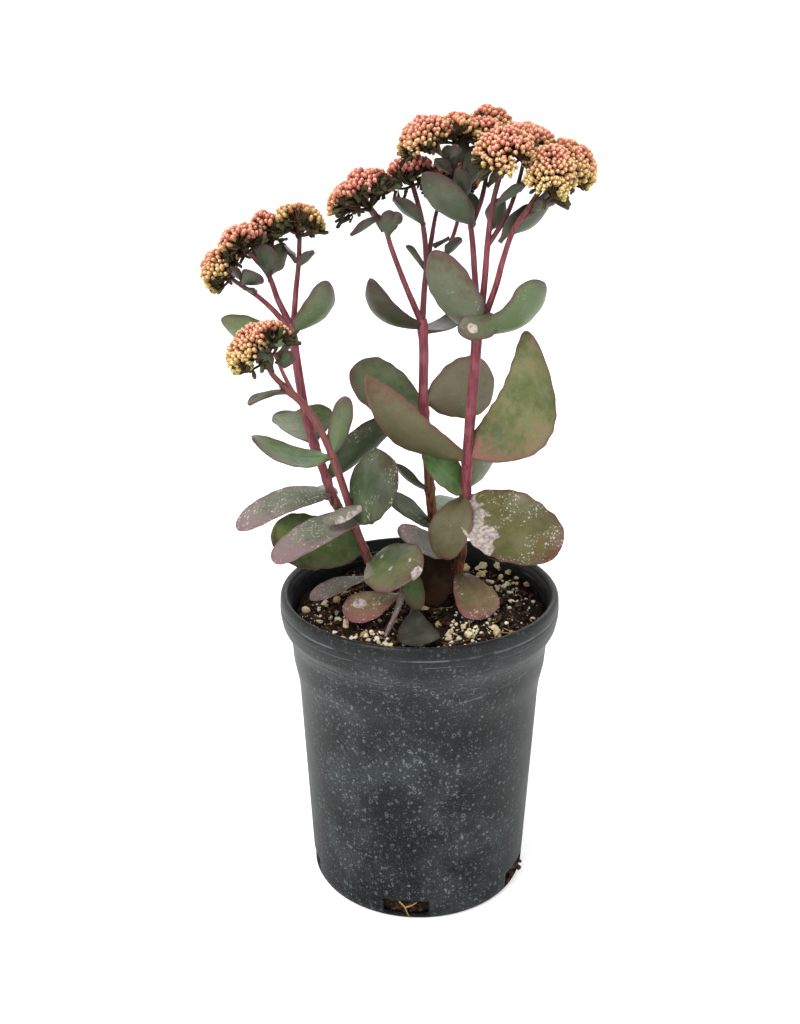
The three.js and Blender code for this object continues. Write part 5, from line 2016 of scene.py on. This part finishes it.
    def build(self) -> None:
        """Makes the buds, riper at the rim and low down, their stalks and the narrow bracts, both dark
        with painted shade.
        """
        random = np.random.default_rng(500 + self.seed)
        shape = self.shape
        hubs = self.hubs(random)
        place, lift, below, own = self.layers(hubs, random)
        x, y = place.T
        feet = self.dome(x, y, lift)
        hub_points = self.dome(hubs[:, 0], hubs[:, 1], np.full(len(hubs), -self.hub_depth))
        slope = [2 * shape.rise * x / shape.across**2, 2 * shape.rise * y / shape.deep**2]
        outwards = unit(np.stack([*slope, np.ones_like(x)], -1)) @ self.axes
        spread = unit(feet - hub_points[own])
        ways = unit(0.8 * outwards + 0.6 * spread + random.normal(0, 0.1, feet.shape))
        far = np.hypot(x / shape.across, y / shape.deep)
        hanging = (lift < -4) * (below < 1)
        tone = shape.ripe + 0.35 * (far - 0.55) + 0.15 * hanging + random.normal(0, 0.12, len(x))
        tone = tone + 0.035 * (shape.centre[2] + 2 - feet[:, 2])
        size = random.uniform(0.86, 1.08, len(x)) * (1 - 0.15 * below)
        turns = frames_to(ways, random.uniform(*ANY_TURN, len(x))) * size[:, None, None]
        # The second mark carries how deep a bud lies, which sets its painted shade.
        buds = scatter(self.bud(), feet, turns, {"tone": np.clip(tone, 0, 1), "sunk": below})
        stands_for = (self.name,) if self.name in SLOT_OF else ()
        buds.make(self.name + "_buds", BudFinish().build(), "buds", stands_for)
        back = np.hypot(hubs[:, 0], hubs[:, 1]) * 0.45
        starts = self.seat - self.axes[2] * back[:, None]
        bends = starts * 0.45 + hub_points * 0.55 - self.axes[2] * 1.2
        rays = stalks(starts, bends, hub_points, self.ray_radii, 7, 8)
        # Rays darkest of all: painted shade under the buds.
        rays.marks["tone"] = np.full(len(rays.points), 0.15)
        bends = (hub_points[own] + feet) / 2 - outwards * 0.4
        pedicels = stalks(hub_points[own], bends, feet + ways * 0.2, self.pedicel_radii, 3, 3)
        tones = random.uniform(0.1, 0.8, len(x))
        pedicels.marks["tone"] = np.repeat(tones, len(pedicels.points) // len(x))
        # Rays and bud stalks near black-brown: painted shade under the buds.
        green = GrainFinish("flower_stalks_in_shade", "2c1a15", "54452b", 0.7, 900, 0.05)
        Surface.joined([rays, pedicels]).make(self.name + "_rays", green.build(), "stem")
        self.narrow_bracts_in_shade(random)

    def narrow_bracts_in_shade(self, random: Draw) -> None:
        """Makes the narrow leaves that stand out all round under the buds, dark brown with painted
        shade.

        Args:
            random: the head's random draw.
        """
        shape = self.shape
        length, width = self.bract_size
        one = Leaf("", 0, (0, 0, length), width, Look.DARK, (0, 1, 0), wave=0.1)
        base = leaf_surface(np.zeros(3), one, 7, 7, 8)
        base.marks = {}
        count = round(shape.across * shape.deep * np.pi / self.bract_area)
        far = np.sqrt(random.uniform(0.05, 0.95, count)) * 0.92
        turn = random.uniform(*ANY_TURN, count)
        x, y = far * np.cos(turn) * shape.across, far * np.sin(turn) * shape.deep
        lift = random.uniform(-10.5, -5.5, count) - 0.5 * shape.rise * (1 - far)
        places = self.dome(x * 0.92, y * 0.92, lift)
        ways = unit(places - self.seat + self.axes[2] * 3) + random.normal(0, 0.4, places.shape)
        size = random.uniform(0.6, 1.15, count)
        turns = frames_to(ways, random.uniform(*ANY_TURN, count)) * size[:, None, None]
        made = scatter(base, places, turns, {"tone": random.uniform(0, 1, count)})
        # Near black-brown narrow bracts: painted shade under the buds.
        dull = GrainFinish("narrow_bracts_in_shade", "261d13", "4d4a31", 0.65, 700, 0.1)
        made.make(self.name + "_bractlets_in_shade", dull.build(), "leaf")


@dataclass(frozen=True)
class Lamp:
    """A square lamp: its place and its side in metres, and its power in watts."""

    name: str
    place: Point
    side: float
    power: float


@dataclass
class Studio:
    """Camera at the photograph's viewing angle, a pale dish for a floor, and soft lamps."""

    view: Point = (-11.5, -651.0, 478.6)
    pitch: float = 20.5
    focal_pixels: float = 1200.0
    long_side: float = 1024.0
    floor_flat: float = 2400.0
    floor_bend: float = 1100.0
    floor_top: float = 2600.0
    floor_sides: int = 96
    floor_rings: int = 12
    glow: float = 0.4
    sky: float = 0.38
    aim: Point = (0, 0, 0.25)
    lamps: tuple[Lamp, ...] = (
        Lamp("key", (-0.9, -1.1, 2.0), 1.0, 41),
        Lamp("fill", (1.6, -0.9, 1.2), 1.6, 6),
        Lamp("back", (0.3, 1.8, 1.7), 1.4, 12),
    )

    def camera(self) -> None:
        """Makes the scene's camera."""
        data = bpy.data.cameras.new("studio_camera")
        data.sensor_width = 36.0
        data.lens = data.sensor_width * self.focal_pixels / self.long_side
        data.clip_start, data.clip_end = 0.01, 50
        camera = bpy.data.objects.new("studio_camera", data)
        camera.location = Vector(self.view) * MM
        camera.rotation_euler = (math.radians(90 - self.pitch), 0, 0)
        bpy.context.scene.collection.objects.link(camera)
        bpy.context.scene.camera = camera

    def dish(self) -> None:
        """Makes the floor: flat round the pot, a quarter circle far from it, and a wall on that.

        Its pale matt paint glows a little, so that the wall stays even.
        """
        turn = np.linspace(0, 2 * np.pi, self.floor_sides, endpoint=False)
        bend = np.linspace(0, np.pi / 2, 16)
        flat = np.linspace(20, self.floor_flat, self.floor_rings)
        radius = [flat, self.floor_flat + self.floor_bend * np.sin(bend)]
        height = [np.zeros_like(flat), self.floor_bend * (1 - np.cos(bend))]
        line = np.concatenate([np.stack([r, h], -1) for r, h in zip(radius, height)])
        line = np.concatenate([line, [(self.floor_flat + self.floor_bend, self.floor_top)]])
        rings = turned(line, turn).reshape(-1, 3)
        j = np.arange(self.floor_sides)
        tris = np.stack([np.full_like(j, len(rings)), j, (j + 1) % self.floor_sides], -1)
        quads = grid_quads(len(line), self.floor_sides)[:, ::-1]
        mesh = bpy.data.meshes.new("studio_floor")
        points = np.concatenate([rings, [[0, 0, 0]]])
        mesh.from_pydata(points * MM, [], quads.tolist() + tris.tolist())
        mesh.polygons.foreach_set("use_smooth", np.full(len(mesh.polygons), True))
        paint = Paint("pale_floor")
        colour = paint.blend(paint.noise(3, 2), "f1f1ef", "f6f6f5")
        relief = paint.bump(paint.noise(500, 2), 0.02)
        own = {"Emission_Color": (1, 1, 1, 1), "Emission_Strength": self.glow}
        mesh.materials.append(paint.finish(colour, 0.9, relief, **own))
        floor = bpy.data.objects.new("studio_floor", mesh)
        bpy.context.scene.collection.objects.link(floor)

    def light(self, lamp: Lamp) -> None:
        """Makes a lamp that looks at the plant's middle.

        Args:
            lamp: its name, place, size and power.
        """
        data = bpy.data.lights.new(lamp.name, "AREA")
        data.size, data.energy = lamp.side, lamp.power
        made = bpy.data.objects.new(lamp.name, data)
        made.location = lamp.place
        toward = Vector(self.aim) - made.location
        made.rotation_euler = toward.to_track_quat("-Z", "Y").to_euler()
        bpy.context.scene.collection.objects.link(made)

    def build(self) -> None:
        """Makes camera, floor and light."""
        self.camera()
        self.dish()
        for lamp in self.lamps:
            self.light(lamp)
        scene = bpy.context.scene
        world = bpy.data.worlds.new("studio_light")
        scene.world = world
        world.use_nodes = True
        sky = world.node_tree.nodes["Background"]
        sky.inputs["Color"].default_value = (1, 1, 1, 1)
        sky.inputs["Strength"].default_value = self.sky
        scene.view_settings.view_transform = "Standard"


def main() -> None:
    """Builds the studio and the plant in order, and reports each piece."""
    logging.basicConfig(level=logging.INFO, format="%(message)s")
    Studio().build()
    NurseryPot().build()
    PottingSoil().build()
    for name, axis in STEMS.items():
        Stalk(name, axis).build()
    Foliage(LEAVES, LOBES, BRACTS).build()
    for seed, name in enumerate(HEADS):
        FlowerHead(name, seed).build()
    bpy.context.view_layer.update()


if __name__ == "__main__":
    main()
